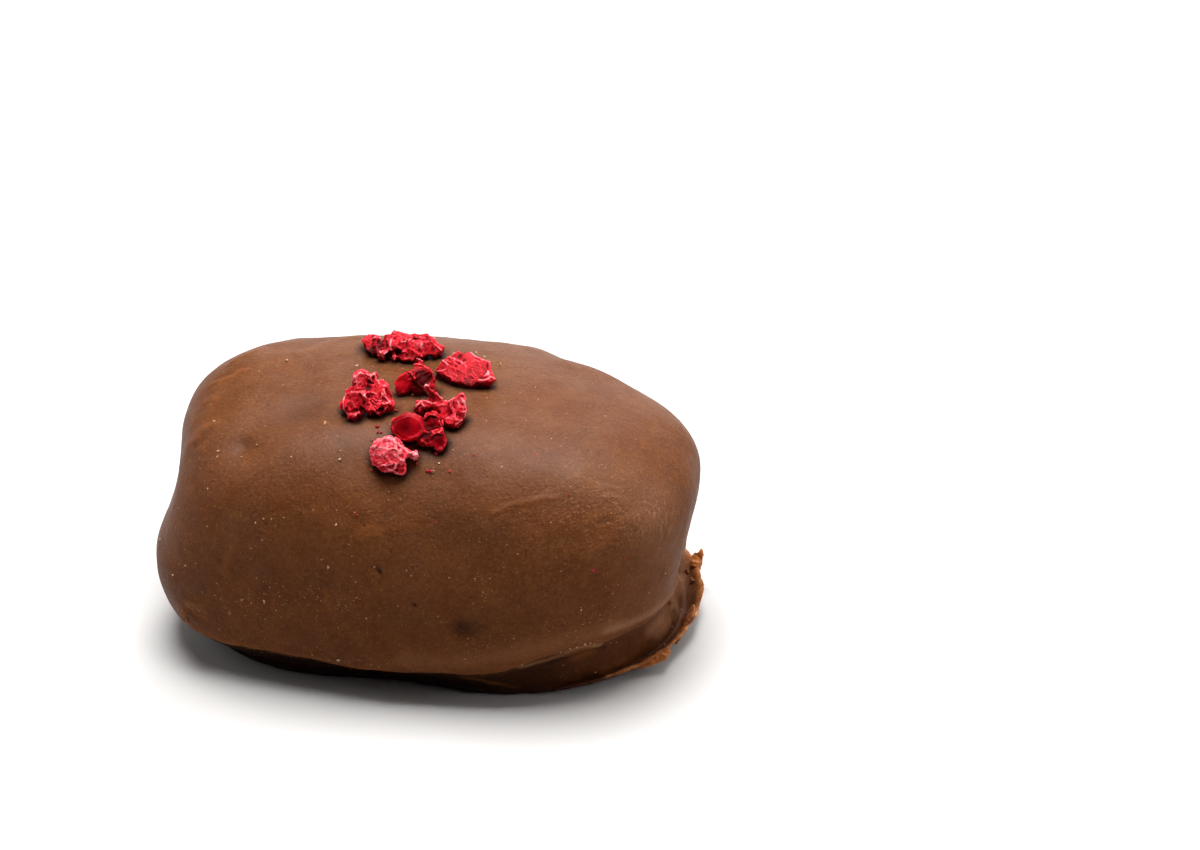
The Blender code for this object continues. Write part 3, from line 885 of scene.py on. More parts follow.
def remeshed(mesh, voxel):
    obj = linked("lump", mesh)
    skin = obj.modifiers.new("skin", "REMESH")
    skin.mode = "VOXEL"
    skin.voxel_size = voxel
    return evaluatedMesh(obj)


def cellEdges(points, size, seed):
    # 0 on the edges between warped cells of this size, 1 well inside them
    values = []
    far, often = bitMaking["cellWarp"]
    for point in (points / size + seed).tolist():
        warped = Vector(point) + far * noise.noise_vector(Vector(point) * often)
        distances = noise.voronoi(warped)[0]
        values.append(distances[1] - distances[0])
    return np.clip(np.array(values) / bitMaking["cellWall"], 0, 1)


def smoothed(mesh, points, rounds):
    # each point drawn towards the mean of its neighbours
    edges = np.empty(len(mesh.edges) * 2, np.int32)
    mesh.edges.foreach_get("vertices", edges)
    ends = np.concatenate([edges, edges.reshape(-1, 2)[:, ::-1].ravel()]).reshape(-1, 2)
    counts = np.bincount(ends[:, 0], minlength=len(points))[:, None]
    for index in range(rounds):
        sums = [np.bincount(ends[:, 0], points[ends[:, 1], axis], len(points)) for axis in range(3)]
        points = (points + np.stack(sums, axis=1) / counts) / 2
    return points


def seenPath(tree, pixels, step=0.6):
    # where a line drawn on the photograph lies on the surface that the camera sees there
    path = []
    for start, end in zip(pixels, pixels[1:]):
        count = max(1, round(math.dist(start, end) / step))
        for index in range(count + 1):
            share = index / count
            pixel = [start[axis] + (end[axis] - start[axis]) * share for axis in range(2)]
            hit = tree.ray_cast(*pixelRay(pixel))[0]
            if hit is not None:
                path.append(hit)
    return np.array(path)


def nearness(points, path, width):
    # 1 on the path, falling off over the width
    near = np.zeros(len(points))
    if len(path) == 0:
        return near
    low, high = path.min(axis=0) - 3 * width, path.max(axis=0) + 3 * width
    inside = np.flatnonzero(((points > low) & (points < high)).all(axis=1))
    if len(inside):
        near[inside] = fading(np.linalg.norm(points[inside, None] - path[None], axis=2).min(axis=1), width)
    return near


def nearLines(tree, points, lines, width):
    # how near each point is to the nearest of the lines that the camera sees
    near = np.zeros(len(points))
    for pixels in lines:
        near = np.maximum(near, nearness(points, seenPath(tree, pixels), width))
    return near


def spots(tree, points, places):
    # how near each point is to the spots that the camera sees at these pixels: (pixel, radius, ...)
    return [nearness(points, seenPath(tree, [place[0], place[0]]), place[1]) for place in places]


def smoothAt(tree, points, bit):
    near = spots(tree, points, bit.get("smooth", []))
    return np.max(near, axis=0) if near else np.zeros(len(points))


def flattened(tree, points, flats):
    # cuts a flat facet where the camera sees each pixel: (pixel, depth of the cut, reach)
    turned, cut = bitMaking["facet"]
    for pixel, depth, reach in flats:
        start, course = pixelRay(pixel)
        centre, facing = tree.ray_cast(start, course)[:2]
        if centre is None:
            continue
        centre, facing = np.array(centre), np.array((facing - course * turned).normalized())
        above = (points - centre) @ facing + depth
        near = np.linalg.norm(points - centre, axis=1) < reach
        points = points - np.where(near & (above > 0), cut * above, 0)[:, None] * facing
    return points


def bitCore(bit):
    # the fused lobes, shards and spikes as one fine skin
    grid = bmesh.new()
    for lobe in bit.get("lobes", []):
        addLobe(grid, bit["seat"], lobe)
    for corners in bit.get("shards", []):
        addShard(grid, bit["seat"], corners)
    for spike in bit.get("spikes", []):
        addSpike(grid, bit["seat"], *spike)
    bmesh.ops.recalc_face_normals(grid, faces=grid.faces)
    return remeshed(meshOf(grid, "bit"), bitMaking["voxel"])


def crumpled(bit):
    # the core with its skin moved in and out
    mesh = bitCore(bit)
    points, normals = pointsOf(mesh), normalsOf(mesh)
    size = bitMaking["crumple"] * bit.get("crumple", 1.0) * (1 - smoothAt(treeOf(mesh), points, bit))
    wave = 0.5 - 2 * np.abs(noiseAt(points - coatShift, bitMaking["crumpleSize"]))
    setPoints(mesh, points + normals * (size * wave)[:, None])
    return remeshed(mesh, bitMaking["voxel"])


def skinRelief(bit, points, smooth):
    # the height of cells, wrinkles and streaks, and where the streaks are
    grain = np.array(bit["grain"])
    along = points - bitMaking["grainPull"] * (points @ grain)[:, None] * grain
    height = np.zeros(len(points))
    cellCalm, wrinkleCalm = bitMaking["calm"]
    reach, sharp = bitMaking["wrinkleShape"]
    for size, depth, seed in bitMaking["cells"]:
        height -= bit.get("rough", 1.0) * depth * cellEdges(along, size, seed) * (1 - cellCalm * smooth)
    for size, rise, seed in bitMaking["wrinkles"]:
        creased = np.abs(noiseAt(along, size, seed))
        height += rise * (reach - sharp * np.clip(creased, 0, reach)) * (1 - wrinkleCalm * smooth)
    streaks = bitMaking["streaks"]
    drawn = points - streaks["pull"] * (points @ grain)[:, None] * grain
    lined = np.abs(noiseAt(drawn, streaks["size"], streaks["seed"]))
    streak = np.clip(1 - lined / streaks["width"], 0, 1) * (1 - smooth) * bit.get("streaks", 1.0)
    height += streaks["height"] * streak
    return height, streak


def makeBit(bit):
    mesh = crumpled(bit)
    points, normals = pointsOf(mesh), normalsOf(mesh)
    tree = treeOf(mesh)
    smooth = rising(smoothAt(tree, points, bit), 0.5)
    calm = smooth[:, None]
    points = points * (1 - calm) + smoothed(mesh, points, bitMaking["calmRounds"]) * calm
    points = flattened(tree, points, bit["flats"])
    height, streak = skinRelief(bit, points, smooth)
    net = bitMaking["net"]
    for near in spots(tree, points, bit.get("net", [])):
        height -= near * net["depth"] * np.clip(noiseAt(points, net["size"], net["seed"]) * 2 + 0.2, 0, 1)
    ridge = nearLines(tree, points, bit["ridges"], bitMaking["ridgeWidth"])
    height += bitMaking["ridgeHeight"] * ridge - bitMaking["smoothSink"] * smooth
    tints = bitMaking["tints"]
    tint = bit["pale"] + tints["all"] + tints["ridge"] * ridge + tints["streak"] * streak
    # each hollow is sunk and gets painted shade, darker the deeper it is
    for near, (pixel, radius, depth) in zip(spots(tree, points, bit["hollows"]), bit["hollows"]):
        height -= depth * near
        tint -= near * min(1.0, depth / bitMaking["darkHollow"])
    for near, (pixel, radius, amount) in zip(spots(tree, points, bit["tints"]), bit["tints"]):
        tint += amount * near
    points = points + normals * height[:, None]
    setPoints(mesh, points)
    normals = normalsOf(mesh)
    bulge = np.zeros(len(points))
    for rounds, unit in bitMaking["bulges"]:
        bulge += ((points - smoothed(mesh, points, rounds)) * normals).sum(axis=1) / unit
    gap = np.array([coatTree.find_nearest(point)[3] for point in points.tolist()])
    # painted shade in the creases and painted light on the crests, by curvature
    setAttribute(mesh, "crest", np.clip(0.5 + 0.25 * bulge, 0, 1) * (1 - smooth) + 0.5 * smooth)
    # the tone, with painted shade where the bit meets the coat
    setAttribute(mesh, "tint", tint + tints["seat"] * fading(gap, bitMaking["seatShade"]))
    setAttribute(mesh, "smooth", smooth)
    return mesh


def joined(meshes):
    # one mesh of several, with their attributes
    objs = [linked("part", mesh) for mesh in meshes]
    with bpy.context.temp_override(active_object=objs[0], selected_editable_objects=objs):
        bpy.ops.object.join()
    mesh = objs[0].data
    bpy.data.objects.remove(objs[0])
    return mesh


raspberryLook = {
    # the darkest stops are reached through painted shade in hollows, creases and at the seat
    "stops": [  # from its darkest hollows to its palest creases
        (0.0, (0.065, 0.0005, 0.0015)),
        (0.3, (0.26, 0.001, 0.005)),
        (0.55, (0.54, 0.007, 0.016)),
        (0.8, (0.76, 0.055, 0.078)),
        (1.0, (0.86, 0.24, 0.26)),
    ],
    "noise": {  # size in mm, detail and roughness
        "fine": (0.12, 3.0, 0.6),
        "patch": (0.9, 2.0, 0.5),
        "finest": (0.05, 2.0, 0.5),
    },
    "paler": {"crest": 0.28, "fine": 0.2, "patch": 0.5},
    # creaseShade: painted shade in the creases
    "creaseShade": 0.42,  # in the creases
    "bump": 0.03,
    "roughness": {"usual": 0.5, "smooth": -0.22, "fine": 0.2},
    "specular": 0.10,
    "subsurface": (0.06, (0.6, 0.12, 0.10), 0.4),  # weight, radius and scale in mm
}


def makeRaspberry():
    look = raspberryLook
    paint = Paint("driedRaspberry")
    tint, crest, smooth = [paint.attribute(name) for name in ("tint", "crest", "smooth")]
    fine, patch, finest = paint.patterns(look["noise"]).values()
    paler, roughness = look["paler"], look["roughness"]
    # painted light on crests and painted shade in creases
    light = tint + paint.between(crest, 0.5, 1.0) * paler["crest"]
    light = light - paint.between(crest, 0.5, 0.0) * look["creaseShade"]
    light = light + (fine - 0.5) * paler["fine"] + (patch - 0.5) * paler["patch"]
    colour = paint.node("ShaderNodeValToRGB", {"stops": look["stops"]}, {"Fac": light})
    bump = paint.bump((fine + finest * 0.5) * (1 - smooth * 0.8), look["bump"])
    rough = roughness["usual"] + smooth * roughness["smooth"] + (fine - 0.5) * roughness["fine"]
    weight, radius, scale = look["subsurface"]
    return paint.finish(Base_Color=colour, Roughness=rough, Normal=bump, Specular_IOR_Level=look["specular"],
                        Subsurface_Weight=weight, Subsurface_Radius=radius, Subsurface_Scale=scale * mm)


def makeRaspberryBits():
    noise.seed_set(bitMaking["cellSeed"])
    mesh = joined([makeBit(bit) for bit in raspberryBits.values()])
    tree = treeOf(mesh)
    bits = newPiece("raspberryBits", mesh, makeRaspberry())
    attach(bits, "root")
    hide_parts("chocolate_date")
    print("raspberry made,", len(mesh.polygons), "faces")
    return tree


class Grove(Bench):
    # a Geometry Nodes tree with named inputs, which grows grains
    def __init__(self, name, inputs):
        super().__init__(bpy.data.node_groups.new(name, "GeometryNodeTree"))
        faces = self.tree.interface
        faces.new_socket("Geometry", in_out="INPUT", socket_type="NodeSocketGeometry")
        self.sockets = {}
        for title, kind in inputs.items():
            self.sockets[title] = faces.new_socket(title, in_out="INPUT", socket_type="NodeSocket" + kind)
        faces.new_socket("Geometry", in_out="OUTPUT", socket_type="NodeSocketGeometry")
        self.entry = self.tree.nodes.new("NodeGroupInput")
        self.exit = self.tree.nodes.new("NodeGroupOutput")

    def given(self, title):
        return Wire(self, self.entry.outputs[title])

    def named(self, name):
        return self.node("GeometryNodeInputNamedAttribute", {"data_type": "FLOAT"}, {"Name": name})

    def anyBetween(self, low, high, seed):
        # a random vector for each point
        values = {"Min": low, "Max": high, "Seed": seed}
        return self.node("FunctionNodeRandomValue", {"data_type": "FLOAT_VECTOR"}, values)

    def grains(self, points, turn, stretch, size, rounds):
        # a ball on each point, turned and stretched, as real faces
        scale = self.vector("SCALE", {"Vector": stretch, "Scale": size})
        ball = self.node("GeometryNodeMeshIcoSphere", {}, {"Radius": 1.0, "Subdivisions": rounds})
        values = {"Points": points, "Instance": ball, "Rotation": turn, "Scale": scale}
        placed = self.node("GeometryNodeInstanceOnPoints", {}, values)
        return self.node("GeometryNodeRealizeInstances", {}, {"Geometry": placed})

    def finish(self, geometry, wave):
        # moves the grains' skin in and out along its normals, and gives it its material
        where = self.node("GeometryNodeInputPosition")
        bumps = self.node("ShaderNodeTexNoise", {}, {"Vector": where, "Scale": wave, "Detail": 2.0})
        normal = self.node("GeometryNodeInputNormal")
        offset = self.vector("SCALE", {"Vector": normal, "Scale": (bumps - 0.5) * self.given("Lumps")})
        moved = self.node("GeometryNodeSetPosition", {}, {"Geometry": geometry, "Offset": offset})
        values = {"Geometry": moved, "Material": self.given("Material")}
        self.feed(self.exit.inputs["Geometry"], self.node("GeometryNodeSetMaterial", {}, values))

    def grow(self, mesh, values):
        obj = linked("seedbed", mesh)
        modifier = obj.modifiers.new("grove", "NODES")
        modifier.node_group = self.tree
        for title, value in values.items():
            modifier[self.sockets[title].identifier] = value
        return evaluatedMesh(obj)


# crumbs at pixels of the photograph, and dust: sizes in mm, densities for each square mm
crumbGrains = {"Size": 1.1, "Lumps": 0.45}
crumbMaking = {"least": (0.6, 0.5, 0.3), "most": (1.7, 1.1, 0.7), "rounds": 2, "wave": 6.0}
fleckMaking = {"least": (0.6, 0.6, 0.35), "most": (1.5, 1.1, 0.6), "rounds": 1, "wave": 9.0}
crumbs = {  # places: pixel and size
    "raspberryCrumbs": {
        "seed": 15,
        "places": [
            ((377, 427), 0.2), ((378, 432), 0.16), ((381, 433), 0.15), ((372, 441), 0.15),
            ((371, 471), 0.14), ((430, 472), 0.13), ((427, 471), 0.1), ((450, 472), 0.13),
            ((474, 456), 0.1), ((357, 515), 0.1), ((593, 571), 0.14), ((529, 589), 0.09),
            ((569, 495), 0.08), ((495, 380), 0.12), ((397, 411), 0.15), ((418, 444), 0.1),
            ((436, 454), 0.13), ((355, 421), 0.12), ((338, 410), 0.09), ((417, 463), 0.12),
        ],
    },
    "nutCrumbs": {
        "seed": 9,
        "places": [
            ((325, 424), 0.3), ((433, 471), 0.14), ((500, 365), 0.14), ((403, 394), 0.12),
            ((404, 470), 0.1), ((230, 612), 0.14), ((246, 615), 0.12), ((242, 600), 0.14),
            ((458, 427), 0.1), ((413, 395), 0.12), ((264, 519), 0.08), ((305, 470), 0.08),
        ],
    },
    "paleCrumbs": {
        "seed": 10,
        "places": [
            ((287, 361), 0.1), ((259, 370), 0.09), ((357, 366), 0.1), ((214, 421), 0.1), ((218, 451), 0.09),
            ((257, 445), 0.09), ((242, 457), 0.08), ((340, 459), 0.11), ((291, 457), 0.08),
            ((265, 426), 0.08), ((256, 522), 0.11), ((271, 519), 0.1), ((237, 510), 0.08),
            ((336, 525), 0.1), ((328, 567), 0.1), ((264, 601), 0.11), ((185, 566), 0.1), ((173, 575), 0.1),
            ((160, 539), 0.09), ((208, 488), 0.08), ((476, 353), 0.1), ((485, 357), 0.11),
            ((487, 399), 0.08), ((490, 474), 0.07), ((439, 463), 0.07), ((455, 354), 0.1),
            ((502, 467), 0.06), ((585, 644), 0.07), ((598, 645), 0.08), ((601, 644), 0.06),
            ((669, 611), 0.09), ((674, 601), 0.06), ((665, 573), 0.05), ((682, 610), 0.06),
            ((672, 627), 0.07), ((688, 572), 0.07), ((694, 580), 0.08), ((665, 645), 0.07),
            ((595, 672), 0.05), ((581, 610), 0.07), ((522, 665), 0.06), ((530, 663), 0.06),
            ((541, 660), 0.07), ((552, 656), 0.06), ((561, 652), 0.07), ((570, 649), 0.07),
            ((577, 647), 0.06), ((590, 643), 0.07), ((594, 644), 0.06), ((605, 633), 0.07),
            ((312, 655), 0.06), ((338, 660), 0.06), ((371, 664), 0.07), ((388, 668), 0.06),
            ((413, 671), 0.06),
        ],
    },
}
flecks = {
    "paleFlecks": {"Density": 0.16, "Smallest": 0.012, "Largest": 0.05, "Seed": 4, "Lumps": 0.02},
    "tanFlecks": {"Density": 0.8, "Smallest": 0.015, "Largest": 0.075, "Seed": 11, "Lumps": 0.02},
    "redFlecks": {"Density": 0.06, "Smallest": 0.02, "Largest": 0.07, "Seed": 23, "Lumps": 0.02},
}
grainLooks = {  # two colours and the size of their patches
    "raspberryDust": ((0.50, 0.012, 0.03), (0.20, 0.004, 0.010), 0.12),
    "nutCrumb": ((0.50, 0.24, 0.11), (0.30, 0.12, 0.05), 0.12),
    "paleCrumb": ((0.60, 0.42, 0.28), (0.40, 0.24, 0.14), 0.08),
}


def crumbGrove():
    # a lumpy grain on each point, as large as the point's own size
    grove = Grove("crumbs", {"Size": "Float", "Lumps": "Float", "Seed": "Int", "Material": "Material"})
    seed = grove.given("Seed")
    turn = grove.anyBetween((0.0, 0.0, 0.0), (2 * math.pi,) * 3, seed)
    stretch = grove.anyBetween(crumbMaking["least"], crumbMaking["most"], seed + 1)
    size = grove.named("size") * grove.given("Size")
    grains = grove.grains(grove.given("Geometry"), turn, stretch, size, crumbMaking["rounds"])
    grove.finish(grains, crumbMaking["wave"])
    return grove


def fleckGrove():
    # small flat grains scattered over the coat, most where its "dusting" is high
    grove = Grove("flecks", {"Density": "Float", "Smallest": "Float", "Largest": "Float", "Seed": "Int",
                             "Lumps": "Float", "Material": "Material"})
    seed, smallest = grove.given("Seed"), grove.given("Smallest")
    density = grove.named("dusting") * grove.given("Density")
    values = {"Mesh": grove.given("Geometry"), "Density": density, "Seed": seed}
    points = grove.node("GeometryNodeDistributePointsOnFaces", {}, values)
    share = grove.node("FunctionNodeRandomValue", {"data_type": "FLOAT"}, {"Seed": seed}, out=1)
    size = smallest + (grove.given("Largest") - smallest) * share**3
    stretch = grove.anyBetween(fleckMaking["least"], fleckMaking["most"], seed + 2)
    grains = grove.grains(points, points.beside("Rotation"), stretch, size, fleckMaking["rounds"])
    grove.finish(grains, fleckMaking["wave"])
    return grove


def seenPoints(tree, places):
    # one vertex where each pixel's ray meets the surface, with its crumb's size
    hits = [(tree.ray_cast(*pixelRay(pixel))[0], size) for pixel, size in places]
    hits = [(hit, size) for hit, size in hits if hit is not None]
    mesh = bpy.data.meshes.new("places")
    mesh.from_pydata([hit for hit, size in hits], [], [])
    setAttribute(mesh, "size", [size for hit, size in hits])
    return mesh


def makeGrains(name):
    light, dark, size = grainLooks[name]
    paint = Paint(name)
    patch = paint.noise(size, detail=3.0, roughness=0.6)
    colour = paint.mix(paint.between(patch, 0.35, 0.65), light, dark)
    return paint.finish(Base_Color=colour, Roughness=0.6, Normal=paint.bump(patch, 0.02),
                        Specular_IOR_Level=0.3, Subsurface_Weight=0.1, Subsurface_Scale=0.2 * mm)


def addTopping(name, mesh, material):
    piece = newPiece(name, mesh, material)
    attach(piece, "root")
    print(name, len(mesh.polygons), "faces")


def makeCrumbs():
    raspberryDust, nutCrumb, paleCrumb = [makeGrains(name) for name in grainLooks]
    grove = crumbGrove()
    for name, material, slot in (
        ("raspberryCrumbs", raspberryDust, "raspberry"),
        ("nutCrumbs", nutCrumb, "chocolate"),
        ("paleCrumbs", paleCrumb, "chocolate"),
    ):
        values = {**crumbGrains, "Seed": crumbs[name]["seed"], "Material": material}
        addTopping(name, grove.grow(seenPoints(coatTree, crumbs[name]["places"]), values), material)
    grove = fleckGrove()
    for name, material, slot in (
        ("paleFlecks", paleCrumb, "chocolate"),
        ("tanFlecks", nutCrumb, "chocolate"),
        ("redFlecks", raspberryDust, "raspberry"),
    ):
        made = grove.grow(coatMesh.copy(), {**flecks[name], "Material": material})
        addTopping(name, made, material)


# torn scraps: outlines at pixels, the pixel whose depth they take, thickness in mm, and how much painted
# light shines through them
chocolateScraps = [
    {
        "outline": [
            (690, 566), (692, 556), (695, 552), (698, 553), (702, 548), (703, 555), (702, 563), (700, 570),
        ],
        "anchor": (696, 566), "thickness": 0.8, "thin": 1.0,
    },
    {
        "outline": [
            (633, 669), (645, 660), (657, 652), (668, 646), (671, 651), (666, 660), (655, 664), (643, 668),
        ],
        "anchor": (655, 655), "thickness": 0.8, "thin": 1.0,
    },
    {
        "outline": [
            (673, 643), (677, 636), (683, 624), (689, 610), (694, 604), (695, 611), (687, 626), (677, 645),
        ],
        "anchor": (684, 628), "thickness": 0.6, "thin": 0.55,
    },
    {
        "outline": [(181, 614), (183, 606), (189, 604), (195, 606), (192, 611), (187, 613), (184, 618)],
        "anchor": (187, 610), "thickness": 0.35, "thin": 0.2,
    },
    {
        "outline": [(185, 618), (190, 616), (196, 619), (193, 623), (187, 622)],
        "anchor": (190, 619), "thickness": 0.3, "thin": 0.1,
    },
    {
        "outline": [(196, 607), (202, 607), (207, 611), (203, 613), (198, 611)],
        "anchor": (201, 610), "thickness": 0.3, "thin": 0.5,
    },
    {
        "outline": [(663, 612), (668, 606), (671, 600), (673, 606), (670, 612), (666, 616)],
        "anchor": (668, 608), "thickness": 0.25, "thin": 0.3,
    },
    {
        "outline": [(684, 571), (687, 568), (690, 573), (688, 576)],
        "anchor": (687, 572), "thickness": 0.3, "thin": 0.2,
    },
    {
        "outline": [(690, 578), (692, 577), (696, 583), (694, 585)],
        "anchor": (693, 581), "thickness": 0.3, "thin": 0.4,
    },
]
scrapMaking = {
    "voxel": 0.07,
    "rounds": 3,  # of smoothing
    "waves": [(0.12, 0.6, 0.0), (0.06, 0.25, 0.0)],  # height, length and seed
}
# the second pair is painted light shining through a thin scrap
scrapLook = {  # dark and pale patches, where a scrap is thick and where light shines through
    "thick": ((0.085, 0.024, 0.005), (0.20, 0.075, 0.028)),
    "thin": ((0.24, 0.062, 0.010), (0.46, 0.15, 0.035)),
}


def makeScrap(scrap):
    # a torn plate that faces the camera
    start, course = pixelRay(scrap["anchor"])
    hit = coatTree.ray_cast(start, course)[0]
    grid = bmesh.new()
    if hit is not None:
        depth = (hit - start).dot(course)
        corners = []
        for pixel in scrap["outline"]:
            place, direction = pixelRay(pixel)
            corners.append(grid.verts.new(place + direction * depth / direction.dot(course)))
        face = grid.faces.new(corners)
        made = bmesh.ops.extrude_face_region(grid, geom=[face])
        moved = [item for item in made["geom"] if isinstance(item, bmesh.types.BMVert)]
        bmesh.ops.translate(grid, verts=moved, vec=course * scrap["thickness"])
        bmesh.ops.recalc_face_normals(grid, faces=grid.faces)
    mesh = remeshed(meshOf(grid, "scrap"), scrapMaking["voxel"])
    points = smoothed(mesh, pointsOf(mesh), scrapMaking["rounds"])
    points += normalsOf(mesh) * waves(points, scrapMaking["waves"])[:, None]
    setPoints(mesh, points)
    setAttribute(mesh, "thin", np.full(len(points), scrap["thin"]))
    return mesh


def makeScraps():
    paint = Paint("tornChocolate")
    mottled = paint.noise(0.5, detail=4.0, roughness=0.65)
    thick, thin = [paint.mix(paint.between(mottled, 0.35, 0.65), *pair) for pair in scrapLook.values()]
    # painted light shining through where a scrap is thin
    colour = paint.mix(paint.attribute("thin"), thick, thin)
    material = paint.finish(Base_Color=colour, Roughness=0.4 + mottled * 0.2,
                            Normal=paint.bump(mottled, 0.05), Specular_IOR_Level=0.25)
    mesh = joined([makeScrap(scrap) for scrap in chocolateScraps])
    addTopping("chocolateScraps", mesh, material)


# marks on the coat: lines at pixels of the photograph, width and height in mm, and what they add to its
# looks; some of these looks are painted highlights, glow and shade
coatMarks = {
    # flow ridges: raised lines, paler with painted sheen
    "flow ridges": {
        "lines": [
            [(298, 353), (312, 349), (325, 344), (340, 340), (356, 338), (372, 338)],
            [(345, 354), (350, 352), (355, 348), (360, 343)],
        ],
        "width": 0.4, "height": 0.13, "pale": 0.35,
    },
    # painted highlight along the upper left edge
    "painted highlight on the upper left edge": {
        "lines": [[(232, 362), (240, 357), (250, 354), (262, 350)]],
        "width": 0.45, "height": 0.12, "pale": 0.3,
    },
    "seam on the upper left": {
        "lines": [[(213, 383), (222, 380), (231, 377), (238, 372), (247, 370)]],
        "width": 0.22, "height": 0.09, "warm": 0.35,
    },
    "smear on the left": {
        "lines": [
            [(192, 450), (198, 451), (204, 449)], [(186, 446), (192, 440), (199, 436)],
            [(205, 428), (212, 425), (219, 421)], [(207, 400), (212, 397), (217, 399)],
            [(196, 433), (201, 428), (206, 426)],
        ],
        "width": 0.25, "height": 0.07, "warm": 0.25,
    },
    "shade beside the smear": {
        "lines": [[(196, 444), (203, 438), (210, 432)], [(190, 452), (194, 455)], [(198, 414), (205, 407)]],
        "width": 0.5, "height": -0.06, "dark": 0.22,
    },
    "crease over the front": {
        "lines": [[(493, 513), (505, 508), (516, 504), (527, 502), (543, 499), (560, 497)]],
        "width": 0.25, "height": 0.08, "warm": 0.12,
    },
    "long scratches": {
        "lines": [
            [(598, 481), (609, 484), (621, 487)], [(623, 516), (634, 512), (646, 507)],
            [(590, 478), (602, 486)], [(612, 492), (622, 497), (630, 498)], [(603, 494), (610, 491)],
        ],
        "width": 0.16, "height": -0.05, "pale": 0.35,
    },
    "arcs": {
        "lines": [
            [(588, 561), (589, 554), (593, 549), (598, 547)],
            [(357, 536), (363, 530), (372, 528), (382, 530)],
            [(360, 541), (367, 535), (376, 534), (384, 537)],
            [(228, 574), (226, 565), (228, 556), (232, 549)], [(222, 571), (224, 575)],
            [(326, 592), (327, 604), (331, 611)],
        ],
        "width": 0.2, "height": 0.06, "warm": 0.25,
    },
    # painted light on the right shoulder
    "painted light on the right shoulder": {
        "lines": [[(580, 474), (622, 482), (660, 505)], [(655, 530), (664, 545)]],
        "width": 2.0, "height": 0.0, "pale": 0.4,
    },
    # painted sheen along the back edge
    "painted sheen on the back edge": {
        "lines": [[(255, 354), (300, 350), (340, 348)], [(395, 346), (430, 352)]],
        "width": 1.2, "height": 0.0, "pale": 0.4,
    },
    # slits: cuts darkened with painted shade
    "slits": {
        "lines": [[(598, 524), (603, 521), (608, 520)], [(378, 569), (380, 573), (383, 578)]],
        "width": 0.16, "height": -0.14, "dark": 0.3,
    },
    "torn flakes": {
        "lines": [
            [(181, 612), (184, 607), (189, 605), (194, 608)],
            [(190, 604), (197, 606), (203, 609), (206, 612)], [(184, 619), (190, 621), (195, 619)],
            [(196, 613), (201, 613)],
        ],
        "width": 0.26, "height": 0.24, "pale": 0.7,
    },
    "smears beside the flakes": {
        "lines": [[(189, 609), (191, 612)], [(198, 610), (204, 611)], [(198, 617), (204, 619)]],
        "width": 0.25, "height": -0.1, "warm": 0.6, "dark": 0.3,
    },
    "rise on the left": {
        "lines": [[(238, 522), (236, 534), (232, 546)]],
        "width": 0.9, "height": 0.1, "pale": 0.12,
    },
    # painted highlight along the lip
    "painted sheen of the lip": {
        "lines": [
            [
                (684, 546), (683, 562), (681, 572), (678, 581), (673, 590), (665, 600), (651, 611),
                (631, 621), (606, 630),
            ],
        ],
        "width": 0.5, "height": 0.14, "pale": 1.3,
    },
    # painted highlight on the wall below the lip
    "painted sheen of the wall": {
        "lines": [[(650, 630), (664, 616), (676, 598), (684, 578)], [(658, 634), (670, 622), (679, 606)]],
        "width": 0.7, "height": 0.0, "pale": 1.0,
    },
    "fringe of the lip": {
        "lines": [[(520, 667), (536, 662), (549, 659), (556, 655), (568, 651), (584, 646), (600, 645)]],
        "width": 0.2, "height": 0.12, "pale": 1.3,
    },
    # band over the lip: partly a paler band of bloom, partly painted light from the floor
    "band over the lip": {
        "lines": [
            [
                (405, 660), (440, 663), (470, 660), (500, 655), (530, 650), (560, 642), (585, 635),
                (612, 625),
            ],
        ],
        "width": 0.9, "height": 0.04, "pale": 0.38, "warm": 0.18,
    },
    # painted shadow in the gap under the fringe
    "painted shadow under the fringe": {
        "lines": [[(548, 664), (560, 659), (574, 655), (590, 650), (604, 648)]],
        "width": 0.2, "height": -0.1, "dark": 0.8,
    },
    "smear in the foot": {
        "lines": [[(463, 677), (480, 679), (500, 684), (517, 687)]],
        "width": 0.2, "height": 0.05, "warm": 0.3,
    },
    # painted glow of light through the wall
    "painted glow on the wall": {
        "lines": [[(577, 655), (583, 653), (590, 651)]],
        "width": 0.7, "height": 0.03, "warm": 0.35,
    },
}
# dents: pixel, radius and depth in mm, and darkness, which is painted shade in the dent; the last six are
# broad shallow hollows whose painted shade darkens the tone there
coatDents = [
    ((245, 445), 0.8, 0.22, 0.35), ((296, 412), 1.3, 0.12, 0.12), ((462, 628), 0.9, 0.25, 0.55),
    ((219, 560), 0.16, 0.3, 0.8), ((233, 572), 0.14, 0.25, 0.5), ((414, 605), 0.16, 0.3, 1.0),
    ((348, 591), 0.14, 0.2, 0.5), ((356, 602), 0.2, 0.2, 0.25), ((361, 600), 0.15, 0.15, 0.3),
    ((326, 585), 0.15, 0.18, 0.3), ((320, 588), 0.14, 0.15, 0.3), ((311, 585), 0.14, 0.15, 0.3),
    ((379, 572), 0.16, 0.2, 0.4), ((376, 568), 0.14, 0.16, 0.3), ((362, 594), 0.14, 0.14, 0.25),
    ((284, 609), 0.15, 0.12, 0.5), ((482, 626), 0.14, 0.12, 0.8), ((195, 446), 0.2, 0.1, 0.3),
    ((256, 401), 0.12, 0.1, 0.4), ((636, 529), 0.12, 0.1, 0.6), ((618, 534), 0.12, 0.1, 0.5),
    ((379, 583), 0.2, 0.12, 0.5), ((238, 631), 0.2, 0.06, 0.5), ((622, 565), 0.12, 0.08, 0.5),
    ((440, 522), 2.8, 0.05, 0.38), ((492, 538), 2.0, 0.02, 0.2), ((306, 408), 1.9, 0.05, 0.32),
    ((345, 440), 1.5, 0.03, 0.2), ((182, 440), 1.0, 0.04, 0.4), ((470, 468), 1.5, 0.03, 0.18),
]
